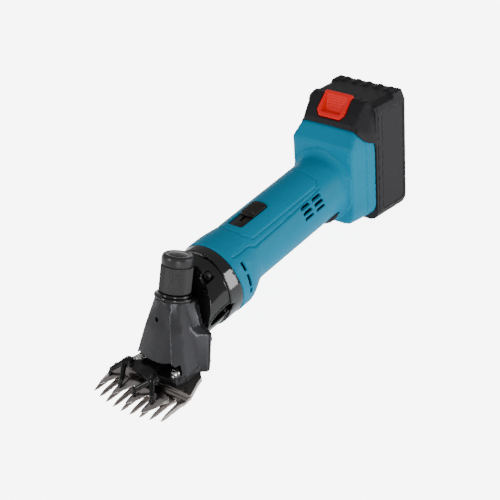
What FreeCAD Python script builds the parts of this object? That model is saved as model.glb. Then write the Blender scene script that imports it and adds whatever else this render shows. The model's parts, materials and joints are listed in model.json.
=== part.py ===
import FreeCAD, Part
import math
import os

# Cordless sheep shears: round motor barrel, gear case, shearing head with comb and cutter,
# and a slide-on battery.  Millimetres.
#
# Tool frame, used while modelling: the barrel axis is Y, +Y runs back to the battery, +Z is up,
# +X is the tool's left.  The origin is on the barrel axis at the housing's front ring.
# save() moves every solid to the row frame: origin under the middle, on the surface it rests on.

V = FreeCAD.Vector
X_AXIS = (1, 0, 0)
Y_AXIS = (0, 1, 0)
Z_AXIS = (0, 0, 1)

# ---- driving dimensions ----------------------------------------------------------------------
AXIS_HEIGHT = 52.7          # barrel axis above the table
MIDDLE_Y = 56.45            # middle of the whole tool, from the ring plane

WALL = 2.4                  # plastic wall of the housing
BARREL_R = 28.4
FLARE_R = 34.0              # front ring of the housing
FLARE_DROP = 4.5            # the ring's centre lies this far under the barrel axis
FLARE_FLAT = 12.0           # straight band behind the ring
FLARE_END = 36.0
BARREL_END = 166.0

BATTERY_LEAN = 9.0          # battery and its block lean back
BATTERY_ORIGIN = (0, 186.5, 10.5)
PACK_HALF = 37.7
PACK_DEPTH = 48.0
PACK_EDGE = 3.0             # bevel round the pack's back
PACK_TOP = 61.5
LEAN_SIN = math.sin(math.radians(BATTERY_LEAN))
LEAN_COS = math.cos(math.radians(BATTERY_LEAN))
# The pack's lower back edge stands on the table, like the comb.
PACK_BOTTOM = -(AXIS_HEIGHT + BATTERY_ORIGIN[2] - LEAN_SIN * (PACK_DEPTH - PACK_EDGE)) / LEAN_COS
BLOCK_DEPTH = 31.4
BLOCK_HALF_FRONT = 33.5
BLOCK_HALF_REAR = 36.5
BLOCK_BOTTOM = -51.0
CROWN_Z = 37.0              # crowned top of the blue block
SLOPE_TOP = (-19.5, 38.0)   # (y, z) where the block's front slope meets its top
SLOPE_NORMAL = (0.758, 0.652)   # the slope faces forward and up
SLOPE_RUN = 24.0
SLOPE_CLEAR = 60.0
SHOULDER_Z = 20.0
SLIDE_GAP = 0.4             # between the block and the sliding battery
COVER_T = 3.0               # front plate of the pack
TONGUE_HALF = 24.0          # the pack's tongue runs between the rails
TONGUE_DEPTH = 10.5
TONGUE_LOW = -44.0
FOOT_HALF = 19.5            # foot under the block, clear of the rails
FOOT_DEPTH = 7.0
TERMINAL_X = (-12, 0, 12)
CELL_R = 9.1
CELL_LENGTH = 65.0
SCREW_SPOTS = ((99.0, -20.0), (146.0, 21.0), (160.0, -27.0), (168.0, 33.0))   # housing, (y, z)

HEAD_LEAN = 24.5            # the tension screw leans back
COLLAR_CENTRE = (0, -45.4, 7.4)
COLLAR_R = 16.7
KNOB_R = 13.4
KNOB_BASE = 5.2
KNOB_TOP = 38.0
CAP_BASE = 27.5
HEAD_BACK = 16.8            # the head's flat rear face, behind the tension axis
HEAD_WALL = 3.2
PIN_R = 3.2                 # pressure pin under the tension bolt
PIN_FOOT = 48.4             # its foot, below the collar
HEAD_SCREWS = ((27.6, -30.5), (28.6, -49.0))       # (x, height along the tension axis)
CASE_SCREWS = ((14.2, 15.0), (24.0, -17.5))        # (x, z)
CASE_FLANGE = 9.0           # dark band between the housing and the neck
PASSAGE_HALF = 11.5         # opening for the fork's tail

COMB_TOP = -AXIS_HEIGHT + 3.0      # top of the comb's thin front
HEEL_TOP = -AXIS_HEIGHT + 3.9      # top of the comb's thicker heel
HEAD_FLOOR = HEEL_TOP              # the head stands on the comb's heel
COMB_TEETH = 9
TOOTH_PITCH = 9.55
COMB_TIP_R = 107.7                 # tips lie on this arc
COMB_TIP_Y = -128.0
CUTTER_TEETH = 4
CUTTER_T = 3.2

CUTTER_LOW = COMB_TOP + 0.08
CUTTER_HIGH = CUTTER_LOW + CUTTER_T
COMB_SCREW = (19.5, -79)           # (x, y) of the left-hand one
SCREW_SEAT = HEAD_FLOOR + 6.7

PIVOT_Y = -60.0             # fork fulcrum
POST_R = 3.2                # fulcrum post
FORK_LOW = -43.4
FORK_HIGH = -37.2
PRONG_REACH = 51.0
CUTTER_REACH = 60.0         # fulcrum to cutter tips
CRANK_REACH = 40.0          # fulcrum to crank roller
SWING = math.degrees(math.asin(TOOTH_PITCH / CUTTER_REACH))
CRANK_THROW = CRANK_REACH * math.sin(math.radians(SWING))

GEAR_MODULE = 0.75
PINION_TEETH = 10
GEAR_TEETH = 34
CRANK_Z = -GEAR_MODULE * (PINION_TEETH + GEAR_TEETH) / 2
CAN_R = 20.5                # motor can
CAN_FRONT = 19.0
CAN_REAR = 86.0
RUN = 0.05                  # radial running clearance
FIT = 0.02                  # radial clearance of a fixed pin, screw or bush

SWITCH_FRONT = 36.0
SWITCH_REAR = 72.0
SWITCH_HALF = 8.0
SWITCH_TRAVEL = 13.0

DIAL_R = 14.6
DIAL_T = 6.5
DIAL_Y = 137.0
DIAL_ANGLE = 50.0           # below the horizontal, on the left side
DIAL_PROUD = 3.5

ROW = FreeCAD.Placement(V(0, -MIDDLE_Y, AXIS_HEIGHT), FreeCAD.Rotation())
BATTERY = FreeCAD.Placement(V(*BATTERY_ORIGIN), FreeCAD.Rotation(V(1, 0, 0), -BATTERY_LEAN))
HEAD = FreeCAD.Placement(V(*COLLAR_CENTRE), FreeCAD.Rotation(V(1, 0, 0), -HEAD_LEAN))


# ---- helpers ---------------------------------------------------------------------------------
def box(low, high):
    return Part.makeBox(high[0] - low[0], high[1] - low[1], high[2] - low[2], V(*low))


def rod(radius, length, base, axis=Y_AXIS):
    return Part.makeCylinder(radius, length, V(*base), V(*axis))


def tube(outer, inner, length, base, axis=Y_AXIS):
    return rod(outer, length, base, axis).cut(rod(inner, length, base, axis))


def cone(r_base, r_end, length, base, axis=Y_AXIS):
    return Part.makeCone(r_base, r_end, length, V(*base), V(*axis))


def prism(points, along, start, end):
    """Closed outline in the plane across one axis, drawn out from start to end along it."""
    if along == "x":
        corners = [V(start, a, b) for a, b in points]
        way = V(end - start, 0, 0)
    elif along == "y":
        corners = [V(a, start, b) for a, b in points]
        way = V(0, end - start, 0)
    else:
        corners = [V(a, b, start) for a, b in points]
        way = V(0, 0, end - start)
    return Part.Face(Part.makePolygon(corners + corners[:1])).extrude(way)


def revolve_y(points):
    """Profile of (radius, y) points turned about the Y axis."""
    corners = [V(r, y, 0) for r, y in points]
    face = Part.Face(Part.makePolygon(corners + corners[:1]))
    return face.revolve(V(0, 0, 0), V(0, 1, 0), 360)


def revolve_z(points):
    """Profile of (radius, z) points turned about the Z axis."""
    corners = [V(r, 0, z) for r, z in points]
    face = Part.Face(Part.makePolygon(corners + corners[:1]))
    return face.revolve(V(0, 0, 0), V(0, 0, 1), 360)


def circle(radius, y, centre_z=0.0):
    return Part.Wire(Part.makeCircle(radius, V(0, y, centre_z), V(0, 1, 0)))


def fuse(shapes):
    whole = shapes[0]
    for shape in shapes[1:]:
        whole = whole.fuse(shape)
    return whole


def cut(shape, tools):
    for tool in tools:
        shape = shape.cut(tool)
    return shape


def mirrored(shape):
    return shape.mirror(V(0, 0, 0), V(1, 0, 0))


def both_sides(shape):
    return [shape, mirrored(shape)]


def placed(shape, place):
    copy = shape.copy()
    copy.Placement = place.multiply(copy.Placement)
    return copy


def turned(shape, centre, axis, angle):
    copy = shape.copy()
    copy.rotate(V(*centre), V(*axis), angle)
    return copy


def save(node, shapes):
    """Write one node: every solid of the shapes, moved to the row frame."""
    solids = []
    for shape in shapes:
        solids += placed(shape, ROW).Solids
    whole = solids[0] if len(solids) == 1 else Part.makeCompound(solids)
    valid = all(solid.isValid() for solid in solids)
    bounds = whole.BoundBox
    print(f"{node:26s} solids {len(solids):3d} volume {whole.Volume / 1000:8.2f} cm3 valid {valid}"
          f"  y {bounds.YMin:7.1f} {bounds.YMax:7.1f}  z {bounds.ZMin:6.1f} {bounds.ZMax:6.1f}"
          f"  x {bounds.XMin:6.1f} {bounds.XMax:6.1f}")
    whole.exportStep(f"parts/{node}.step")


def ridged_disc(radius, depth, count, low, high):
    """Disc along Z whose rim has count straight ridges."""
    points = []
    for k in range(count):
        for share, r in ((-0.3, radius - depth), (0, radius - depth), (0.2, radius), (0.5, radius)):
            angle = 2 * math.pi * (k + share) / count
            points.append((r * math.cos(angle), r * math.sin(angle)))
    return prism(points, "z", low, high)


# ---- housing ---------------------------------------------------------------------------------
def flare_station(y, inset):
    """Radius and centre height of the housing at y: an S-shaped flare towards the ring."""
    t = min(max((y - FLARE_FLAT) / (FLARE_END - FLARE_FLAT), 0.0), 1.0)
    ease = t * t * (3 - 2 * t)
    radius = FLARE_R + (BARREL_R - FLARE_R) * ease
    return circle(radius - inset, y, -FLARE_DROP * (1 - ease))


def barrel(inset, start, end):
    steps = 6
    span = FLARE_END - FLARE_FLAT
    stations = [flare_station(FLARE_FLAT + span * i / steps, inset) for i in range(steps + 1)]
    flare = Part.makeLoft(stations, True, False)
    band = rod(FLARE_R - inset, FLARE_FLAT - start, (0, start, -FLARE_DROP))
    back = rod(BARREL_R - inset, end - FLARE_END, (0, FLARE_END, 0))
    return fuse([band, flare, back])


def block_outline(half, bottom, crown, shoulder, inset):
    """Front outline of the block: rounded bottom, straight sides, stepped and crowned top."""
    side = half - inset
    low = bottom + inset
    top = crown - inset
    step = shoulder - inset
    right = [(0.55 * side, low), (0.88 * side, low + 5.5), (side, low + 17)]
    right += [(side, step), (0.93 * side, step + 1.5), (0.86 * side, step + 7)]
    right += [(0.8 * side, top - 3.0), (0.68 * side, top - 0.8)]
    left = [(-x, z) for x, z in reversed(right)]
    return right + left


def block(inset, front, rear):
    """Battery block in the battery frame, tapering a little to the front."""
    t = (front + BLOCK_DEPTH) / BLOCK_DEPTH
    half = BLOCK_HALF_FRONT + (BLOCK_HALF_REAR - BLOCK_HALF_FRONT) * t
    wires = []
    for y, width in ((front, half), (rear, BLOCK_HALF_REAR)):
        outline = block_outline(width, BLOCK_BOTTOM, CROWN_Z, SHOULDER_Z, inset)
        corners = [V(x, y, z) for x, z in outline]
        wires.append(Part.makePolygon(corners + corners[:1]))
    body = Part.makeLoft(wires, True, True)
    high = (SLOPE_TOP[0] + SLOPE_NORMAL[0] * inset, SLOPE_TOP[1] - SLOPE_NORMAL[1] * inset)
    low = (high[0] - SLOPE_RUN, high[1] - SLOPE_RUN * SLOPE_NORMAL[0] / SLOPE_NORMAL[1])
    slope = [high, low, (low[0], SLOPE_CLEAR), (high[0], SLOPE_CLEAR)]
    return body.cut(prism(slope, "x", -60, 60))


def collar_flange(inset):
    """Hollow-sided flange where the barrel runs into the block."""
    start = 136.0
    reach = 20.0
    swell = 6.5
    profile = [(0, start)]
    for i in range(9):
        angle = math.pi / 2 * i / 8
        profile.append((BARREL_R - inset + swell * (1 - math.cos(angle)), start + reach * math.sin(angle)))
    profile += [(BARREL_R - inset + swell, start + reach + 12), (0, start + reach + 12)]
    return revolve_y(profile)


def housing_solid():
    outer_block = placed(block(0, -BLOCK_DEPTH, 0), BATTERY)
    reach = placed(prism(block_outline(BLOCK_HALF_FRONT, BLOCK_BOTTOM, CROWN_Z, SHOULDER_Z, 0),
                         "y", -60, -6), BATTERY)
    outer = fuse([barrel(0, 0, BARREL_END), outer_block, collar_flange(0).common(reach)])
    hollow_block = placed(block(WALL, -BLOCK_DEPTH + WALL, 5), BATTERY)
    hollow = fuse([barrel(WALL, -1, BARREL_END - 1), hollow_block])
    return outer.cut(hollow)


def barrel_skin(depth):
    """Thin layer at the surface of the straight barrel, for shallow lines."""
    return tube(BARREL_R + 2, BARREL_R - depth, 120, (0, 18, 0))


def top_panel_line():
    """Groove round the raised saddle panel that carries the switch."""
    outer = prism([(-20.4, 34), (-14, 29), (0, 27), (14, 29), (20.4, 34), (20.4, 122), (15, 127.5),
                   (-15, 127.5), (-20.4, 122)], "z", 5, 40)
    inner = prism([(-19.5, 34.8), (-13.5, 30), (0, 28), (13.5, 30), (19.5, 34.8), (19.5, 121.5),
                   (14.4, 126.6), (-14.4, 126.6), (-19.5, 121.5)], "z", 4, 41)
    return outer.cut(inner).common(barrel_skin(0.6))


def side_panel_step():
    """Shallow band over the raised side panel; it steps up behind the ring."""
    outline = [(11, 19.2), (22, 19.6), (30, 18.6), (35.5, 14.9), (93, 14.9), (96, 17.2),
               (118, 17.2), (120, 19.4), (39, 19.4), (31.5, 22.0), (22, 22.6), (11, 22.2)]
    band = prism(outline, "x", 5, 45)
    front = barrel(0.5, 0, 60)
    ring = barrel(-3, 0, 60).cut(front)
    rear = tube(BARREL_R + 3, BARREL_R - 0.5, 90, (0, 59.9, 0))
    return [band.common(ring), band.common(rear)]


def vents():
    """Openings of the left half, mirrored later: three slits in front, six at the back."""
    tools = []
    for low, high in ((7.6, 15.0), (-7.2, 4.4), (-14.0, -9.2)):
        tools.append(box((20, 8.6, low), (45, 11.2, high)))
    for start in (94.0, 109.5):
        for level in (14.3, 9.6, 4.9):
            tools.append(box((18, start, level - 1.1), (36, start + 11.6, level + 1.1)))
    return tools


def dial_frame():
    return FreeCAD.Placement(V(0, DIAL_Y, 0), FreeCAD.Rotation(V(0, 1, 0), DIAL_ANGLE))


def dial_centre_r():
    return BARREL_R + DIAL_PROUD - DIAL_R


def screw_bosses(housing_outer):
    bosses = []
    for y, z in SCREW_SPOTS:
        post = rod(5.2, 80, (-40, y, z), X_AXIS)
        bosses.append(post.common(housing_outer))
    return bosses


def make_housing():
    shell = housing_solid()
    outer = fuse([barrel(0, 0, BARREL_END), placed(block(0, -BLOCK_DEPTH, -1), BATTERY)])
    shell = fuse([shell] + screw_bosses(outer))
    shell = cut(shell, [top_panel_line()])
    for tool in vents() + side_panel_step():
        shell = cut(shell, both_sides(tool))
    slot = box((-SWITCH_HALF, SWITCH_FRONT, 15), (SWITCH_HALF, SWITCH_REAR, 40))
    room = rod(DIAL_R + 0.4, DIAL_T + 0.8, (dial_centre_r(), 0, -DIAL_T / 2 - 0.4), Z_AXIS)
    wheel_room = placed(room, dial_frame())
    mouth = placed(box((-26, -11.2, 15), (26, 3, 60)), BATTERY)
    shell = cut(shell, [slot, wheel_room, mouth])
    notch = placed(box((-FOOT_HALF - 0.4, -FOOT_DEPTH - 0.4, -60), (FOOT_HALF + 0.4, 5, -45)), BATTERY)
    back_cut = placed(box((-60, -0.3, -80), (60, 40, 80)), BATTERY)
    crown = [(-10, 60), (-10, SHOULDER_Z + 12), (-0.5, SHOULDER_Z + 0.5), (5, SHOULDER_Z + 0.5), (5, 60)]
    crown_cut = placed(prism(crown, "x", -60, 60), BATTERY)
    shell = cut(shell, [notch, back_cut, crown_cut])
    left_tools = []
    right_tools = []
    for y, z in SCREW_SPOTS:
        left_tools.append(rod(1.5 + FIT, 14, (0, y, z), X_AXIS))
        right_tools.append(rod(2.1, 60, (-60, y, z), X_AXIS))
        right_tools.append(rod(3.7, 52, (-60, y, z), X_AXIS))
    left = cut(shell.common(box((0, -5, -90), (90, 260, 90))), left_tools)
    right = cut(shell.common(box((-90, -5, -90), (0, 260, 90))), right_tools)
    save("housing_left", [left])
    save("housing_right", [right])
    screws = []
    for y, z in SCREW_SPOTS:
        shank = rod(1.5, 19.5, (-7.5, y, z), X_AXIS)
        head = rod(3.4, 2.4, (-10.4, y, z), X_AXIS)
        cross = box((-11, y - 2.2, z - 0.4), (-9.4, y + 2.2, z + 0.4))
        neck = rod(1.5, 1.0, (-8.2, y, z), X_AXIS)
        screws.append(cut(fuse([shank, head, neck]), [cross, turned(cross, (0, y, z), X_AXIS, 90)]))
    save("housing_screws", screws)


# ---- gear case and gears ---------------------------------------------------------------------
CASE_STATIONS = ((-9.0, 31.4, -5.0), (-20.0, 29.6, -7.4), (-31.0, 27.0, -11.0), (-52.0, 23.5, -16.0))


def case_loft(inset):
    stations = [circle(r - inset, y, z) for y, r, z in reversed(CASE_STATIONS)]
    return Part.makeLoft(stations, True, False)


def head_rear_tool():
    """Everything in front of the plane where the head bolts on."""
    return placed(box((-80, -160, -120), (80, HEAD_BACK, 80)), HEAD)


def make_gear_case():
    flange = rod(FLARE_R - 0.5, CASE_FLANGE, (0, -CASE_FLANGE, -FLARE_DROP))
    flat = placed(box((FLARE_R - 1.2, -20, -30), (60, 5, 30)),
                  FreeCAD.Placement(V(0, 0, -FLARE_DROP), FreeCAD.Rotation(V(0, 1, 0), -26)))
    outer = fuse([flange, case_loft(0)])
    throat = rod(28.5, CASE_FLANGE - 2.0, (0, -CASE_FLANGE - 0.5, -FLARE_DROP))
    spigot_wall = tube(FLARE_R - WALL - 0.05, FLARE_R - WALL - 1.9, 3.0, (0, 0, -FLARE_DROP))
    mouth = rod(28.5, 10, (0, -6, -FLARE_DROP))
    shape = fuse([outer, spigot_wall])
    shape = cut(shape, both_sides(flat))
    shape = cut(shape, [case_loft(3.0), throat, mouth, head_rear_tool()])
    back_wall = case_loft(2.9).cut(head_rear_tool()).common(
        placed(box((-80, HEAD_BACK, -120), (80, HEAD_BACK + 3.0, 80)), HEAD))
    towers = []
    pockets = []
    for x, z in CASE_SCREWS:
        tower = rod(5.4, 26, (x, -26, z)).common(outer)
        towers += both_sides(tower.cut(head_rear_tool()))
        pockets += both_sides(rod(3.9, 60, (x, -76, z)))
        pockets += both_sides(rod(2.1, 20, (x, -18, z)))
    shape = fuse([shape, crank_web(), back_wall] + towers)
    shape = cut(shape, pockets + [fork_passage(), rod(6.5 + FIT, 12, (0, -15, CRANK_Z))])
    save("gear_case", [shape])
    screws = []
    for x, z in CASE_SCREWS:
        for side in (1, -1):
            head = rod(3.6, 3.0, (side * x, -19.0, z))
            shank = rod(2.0, 20.4, (side * x, -16.2, z))
            socket = rod(1.6, 2.0, (side * x, -19.5, z))
            screws.append(fuse([head, shank]).cut(socket))
    save("gear_case_screws", screws)


def fork_passage():
    """Room for the fork's tail where it passes from the head into the gear case."""
    return box((-PASSAGE_HALF, -60, -42.6), (PASSAGE_HALF, -30.5, -8.5))


def crank_web():
    """Wall across the gear case that carries the front crank bearing."""
    wall = rod(40, 4.0, (0, -14, -8)).common(case_loft(2.9))
    return wall


def involute_gear(teeth, module, width, base, phase):
    """Spur gear along Y with straight-flanked teeth of true pitch and depth."""
    pitch_r = module * teeth / 2
    tip_r = pitch_r + module
    root_r = pitch_r - 1.25 * module
    step = 2 * math.pi / teeth
    points = []
    for i in range(teeth):
        middle = phase + i * step
        for share, radius in ((-0.36, root_r), (-0.225, pitch_r), (-0.11, tip_r),
                              (0.11, tip_r), (0.225, pitch_r), (0.36, root_r)):
            angle = middle + share * step
            points.append((radius * math.sin(angle), radius * math.cos(angle)))
    gear = prism(points, "y", 0, width)
    gear.translate(V(*base))
    return gear


def make_gears():
    pinion = involute_gear(PINION_TEETH, GEAR_MODULE, 8.0, (0, -8.0, 0), math.pi / PINION_TEETH)
    save("pinion", [pinion.cut(rod(1.6, 10, (0, -9, 0)))])
    gear = involute_gear(GEAR_TEETH, GEAR_MODULE, 6.0, (0, -7.5, CRANK_Z), 0)
    gear = cut(gear, [rod(3.5, 10, (0, -9, CRANK_Z))])
    gear = cut(gear, [rod(1.6, 10, (7.8 * math.sin(a), -9, CRANK_Z + 7.8 * math.cos(a)))
                      for a in (math.pi / 6 + k * math.pi / 3 for k in range(6))])
    save("drive_gear", [gear])
    shaft = rod(3.5, 22.5, (0, -17.5, CRANK_Z))
    journal = rod(3.0, 5.2, (0, 0.5, CRANK_Z))
    disc = rod(CRANK_THROW + 3.2, 2.6, (0, -17.6, CRANK_Z))
    pin = rod(2.0, 7.0, (CRANK_THROW, -24.4, CRANK_Z))
    shaft = shaft.common(box((-20, -17.6, -40), (20, 0.5, 10)))
    save("crank_shaft", [fuse([shaft, journal, disc, pin])])
    save("crank_roller", [tube(3.5, 2.0 + RUN, 5.4, (CRANK_THROW, -23.6, CRANK_Z))])
    save("crank_bearing_front", [tube(6.5, 3.5 + RUN, 4.0, (0, -14, CRANK_Z))])
    save("crank_bearing_rear", [tube(6.0, 3.0 + RUN, 4.0, (0, 1.0, CRANK_Z))])


def make_bearing_plate():
    plate = rod(28.3, 5.0, (0, 0.2, -FLARE_DROP))
    recess = rod(23, 1.2, (0, -0.5, -FLARE_DROP))
    holes = [rod(6.5 + FIT, 4.8, (0, 1.6, 0)), rod(2.4, 10, (0, -1, 0)),
             rod(6.0 + FIT, 4.2, (0, 1.0, CRANK_Z)), rod(3.6, 10, (0, -1, CRANK_Z))]
    for x, z in CASE_SCREWS:
        holes += both_sides(rod(2.0 + FIT, 5.2, (x, -0.5, z)))
    save("bearing_plate", [cut(plate, [recess] + holes)])


# ---- motor -----------------------------------------------------------------------------------
def make_motor():
    can = tube(CAN_R, CAN_R - 1.6, CAN_REAR - CAN_FRONT, (0, CAN_FRONT, 0))
    face = tube(CAN_R, 7.0, 1.8, (0, CAN_FRONT, 0))
    cooling = [box((CAN_R - 3, y, -3), (CAN_R + 3, y + 9, 3)) for y in (26, 70)]
    can = fuse([can, face])
    for tool in cooling:
        can = cut(can, both_sides(tool))
    save("motor_can", [can])
    magnet = tube(CAN_R - 1.6, 15.2, 44, (0, 28, 0)).common(box((-40, 20, -13), (40, 90, 13)))
    save("motor_magnets", magnet.Solids)
    end = rod(CAN_R - 1.6, 3.0, (0, CAN_REAR - 3, 0))
    flange = rod(CAN_R, 4.0, (0, CAN_REAR, 0))
    lugs = box((-25.6, CAN_REAR, -4), (25.6, CAN_REAR + 4, 4))
    cap = fuse([end, flange, turned(lugs, (0, 0, 0), Y_AXIS, 45), turned(lugs, (0, 0, 0), Y_AXIS, 135)])
    cap = cut(cap, [rod(8.0, 3.1, (0, CAN_REAR - 3.1, 0)), rod(5.0, 3.0, (0, CAN_REAR + 1, 0)),
                    rod(2.5, 12, (0, CAN_REAR - 5, 0))])
    save("motor_end_cap", [cap])
    save("motor_bearing_front", [tube(6.5, 2.0 + RUN, 4.4, (0, 1.8, 0))])
    save("motor_bearing_rear", [tube(5.0, 1.6 + RUN, 3.0, (0, CAN_REAR + 1, 0))])
    brush = box((5.9, CAN_REAR - 9.5, -2.2), (11.5, CAN_REAR - 4.0, 2.2))
    save("motor_brushes", both_sides(brush))
    shaft = [rod(1.6, 9.8, (0, -8.0, 0)), rod(2.0, CAN_REAR - 2.2, (0, 1.6, 0))]
    tail = rod(1.6, 5.0, (0, CAN_REAR - 0.6, 0))
    save("motor_shaft", [fuse(shaft + [tail])])
    stack = rod(14.4, 40, (0, 30, 0))
    slots = []
    for k in range(10):
        slot = box((-1.4, 29, 6.5), (1.4, 71, 15.5))
        slots.append(turned(slot, (0, 0, 0), Y_AXIS, 36 * k))
    bore = rod(2.0, 60, (0, 20, 0))
    windings = [tube(12.4, 4.0, 4.6, (0, 25.4, 0)), tube(12.4, 4.0, 4.6, (0, 70, 0))]
    save("motor_armature", [cut(fuse([stack] + windings), slots + [bore])])
    save("motor_commutator", [tube(5.6, 2.0, 7.0, (0, 76.0, 0))])
    save("cooling_fan", [cooling_fan()])


def cooling_fan():
    hub = tube(6.0, 2.0, 6.4, (0, 8.4, 0))
    disc = tube(19.0, 2.0, 1.2, (0, 8.4, 0))
    blades = []
    for k in range(12):
        blade = box((5.0, 9.0, -0.6), (23.4, 14.8, 0.6))
        blade = turned(blade, (0, 0, 0), Y_AXIS, 30 * k + 8)
        blades.append(blade)
    return fuse([hub, disc] + blades)


# ---- head ------------------------------------------------------------------------------------

# Sections of the head across the tension axis: height along the axis, how far the middle comes
# forward, then (x, forward) of crease, facet end, bevel end, side rear and back corner.
HEAD_SECTIONS = (
    (0.0, 16.3, ((6.5, 15.0), (13.4, 9.2), (15.2, 6.6), (15.4, -9.0), (11.0, -HEAD_BACK))),
    (-19.0, 17.2, ((8.6, 16.0), (19.2, 9.6), (21.4, 6.6), (23.0, -10.0), (19.0, -HEAD_BACK))),
    (-25.0, 17.5, ((9.3, 16.3), (21.0, 9.6), (23.4, 6.6), (32.0, -12.0), (29.6, -HEAD_BACK))),
    (-66.0, 19.4, ((13.6, 17.8), (33.0, 8.4), (35.2, 5.4), (35.4, -13.0), (32.5, -HEAD_BACK))),
)


def head_wire(section, inset, rear_inset):
    """One closed section: arc over the front, then straight facets round the back."""
    height, front, half = section
    points = []
    for x, forward in half:
        if forward > 0:
            points.append((x - inset, forward - inset))
        else:
            points.append((x - inset, forward + rear_inset))
    crease = points[0]
    edges = [Part.Arc(V(-crease[0], -crease[1], height), V(0, -(front - inset), height),
                      V(crease[0], -crease[1], height)).toShape()]
    path = points + [(-x, forward) for x, forward in reversed(points)]
    for a, b in zip(path[:-1], path[1:]):
        edges.append(Part.makeLine(V(a[0], -a[1], height), V(b[0], -b[1], height)))
    return Part.Wire(edges)


def head_loft(inset, rear_inset, sections):
    return Part.makeLoft([head_wire(section, inset, rear_inset) for section in sections], True, True)


def make_head():
    outer = placed(head_loft(0, 0, HEAD_SECTIONS), HEAD)
    lower_inner = [(h - 5.0 if h > -5 else h, f, pts) for h, f, pts in HEAD_SECTIONS]
    inner = placed(head_loft(HEAD_WALL, 3.0, lower_inner), HEAD)
    floor = box((-60, -100, -80), (60, 20, HEAD_FLOOR))
    base = prism([(-28, -84.5), (28, -84.5), (31, -78), (31, -50), (-31, -50), (-31, -78)],
                 "z", HEAD_FLOOR, HEAD_FLOOR + 4.6)
    base = base.cut(placed(box((-80, HEAD_BACK, -160), (80, 80, 80)), HEAD))
    inner = inner.cut(box((-60, -100, -80), (60, 20, HEAD_FLOOR + 4.6)))
    arch = prism([(-29.5, HEAD_FLOOR + 4.6), (-14, -32.6), (14, -32.6), (29.5, HEAD_FLOOR + 4.6)],
                 "y", -110, -60)
    lip = prism([(-31, HEAD_FLOOR - 1), (-29.5, HEAD_FLOOR + 4.6), (29.5, HEAD_FLOOR + 4.6),
                 (31, HEAD_FLOOR - 1)], "y", -110, -84.5)
    shape = fuse([outer, base])
    shape = cut(shape, [floor, inner, arch, lip])
    oil_hole = turned(rod(1.9, 16, (-11, -60.5, -14), Z_AXIS), (-11, -60.5, -9), Y_AXIS, -38)
    boss = placed(rod(9.0, 16, (0, 0, -16), Z_AXIS), HEAD)
    screw_pads = both_sides(rod(5.2, 2.2, (*COMB_SCREW, SCREW_SEAT - 2.2), Z_AXIS))
    shape = fuse([shape, boss] + screw_pads)
    opening = fork_passage().common(placed(box((-60, 10, -80), (60, 30, 20)), HEAD))
    holes = [placed(rod(5.0 + RUN, 40, (0, 0, -20), Z_AXIS), HEAD), oil_hole, opening,
             rod(POST_R + FIT, 30, (0, PIVOT_Y, HEAD_FLOOR - 20), Z_AXIS)]
    holes += both_sides(rod(2.5 + FIT, 30, (*COMB_SCREW, -60), Z_AXIS))
    holes += both_sides(rod(5.4, 8, (*COMB_SCREW, SCREW_SEAT), Z_AXIS))
    for x, height in HEAD_SCREWS:
        holes += both_sides(placed(rod(2.0 + FIT, 12, (x, HEAD_BACK - 9, height)), HEAD))
    save("head_body", [cut(shape, holes)])
    make_head_screws()


def make_head_screws():
    screws = []
    for x, height in HEAD_SCREWS:
        for side in (1, -1):
            head = rod(3.6, 3.2, (side * x, HEAD_BACK, height))
            shank = rod(2.0, 8.5, (side * x, HEAD_BACK - 8.0, height))
            socket = rod(1.6, 2.0, (side * x, HEAD_BACK + 1.4, height))
            screws.append(placed(fuse([head, shank]).cut(socket), HEAD))
    save("head_screws", screws)


def make_tension():
    collar = revolve_z([(5.0 + RUN, 0), (COLLAR_R - 0.6, 0), (COLLAR_R, 0.6), (COLLAR_R, 2.2), (14.6, 3.0),
                        (14.2, 3.3), (14.2, 4.4), (13.7, 4.8), (5.0 + RUN, 4.8)])
    save("tension_collar", [placed(collar, HEAD)])
    skirt = revolve_z([(5.0, KNOB_BASE), (KNOB_R - 0.8, KNOB_BASE), (KNOB_R, KNOB_BASE + 0.8),
                       (KNOB_R, CAP_BASE - 0.5), (KNOB_R - 0.5, CAP_BASE), (5.0, CAP_BASE)])
    knurl = ridged_disc(KNOB_R, 0.4, 60, KNOB_BASE, CAP_BASE)
    save("tension_knob", [placed(skirt.common(knurl), HEAD)])
    cap = revolve_z([(0, CAP_BASE), (KNOB_R - 0.9, CAP_BASE), (KNOB_R - 0.9, CAP_BASE + 0.8),
                     (KNOB_R, CAP_BASE + 1.1), (KNOB_R, KNOB_TOP - 4.2), (KNOB_R - 0.8, KNOB_TOP - 2.4),
                     (KNOB_R - 2.6, KNOB_TOP - 1.2), (KNOB_R - 4.0, KNOB_TOP - 0.9),
                     (KNOB_R - 7.0, KNOB_TOP - 0.3), (0, KNOB_TOP)])
    save("knob_cap", [placed(cap, HEAD)])
    bolt = rod(5.0, 43.0, (0, 0, CAP_BASE - 43.2), Z_AXIS)
    save("tension_bolt", [placed(bolt, HEAD)])
    top = CAP_BASE - 43.3
    stem = rod(PIN_R, PIN_FOOT + top - PIN_R, (0, 0, PIN_R - PIN_FOOT), Z_AXIS)
    ball = Part.makeSphere(PIN_R, V(0, 0, PIN_R - PIN_FOOT))
    save("tension_pin", [placed(fuse([stem, ball]), HEAD)])
    post = rod(POST_R, 9.6, (0, PIVOT_Y, HEAD_FLOOR), Z_AXIS)
    nose = cone(POST_R, POST_R - 1.4, 1.0, (0, PIVOT_Y, HEAD_FLOOR + 9.6), Z_AXIS)
    save("fulcrum_post", [fuse([post, nose])])


# ---- comb, cutter and fork -------------------------------------------------------------------
def comb_tip_y(x):
    centre = COMB_TIP_Y + COMB_TIP_R
    return centre - math.sqrt(COMB_TIP_R ** 2 - x * x)


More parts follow.
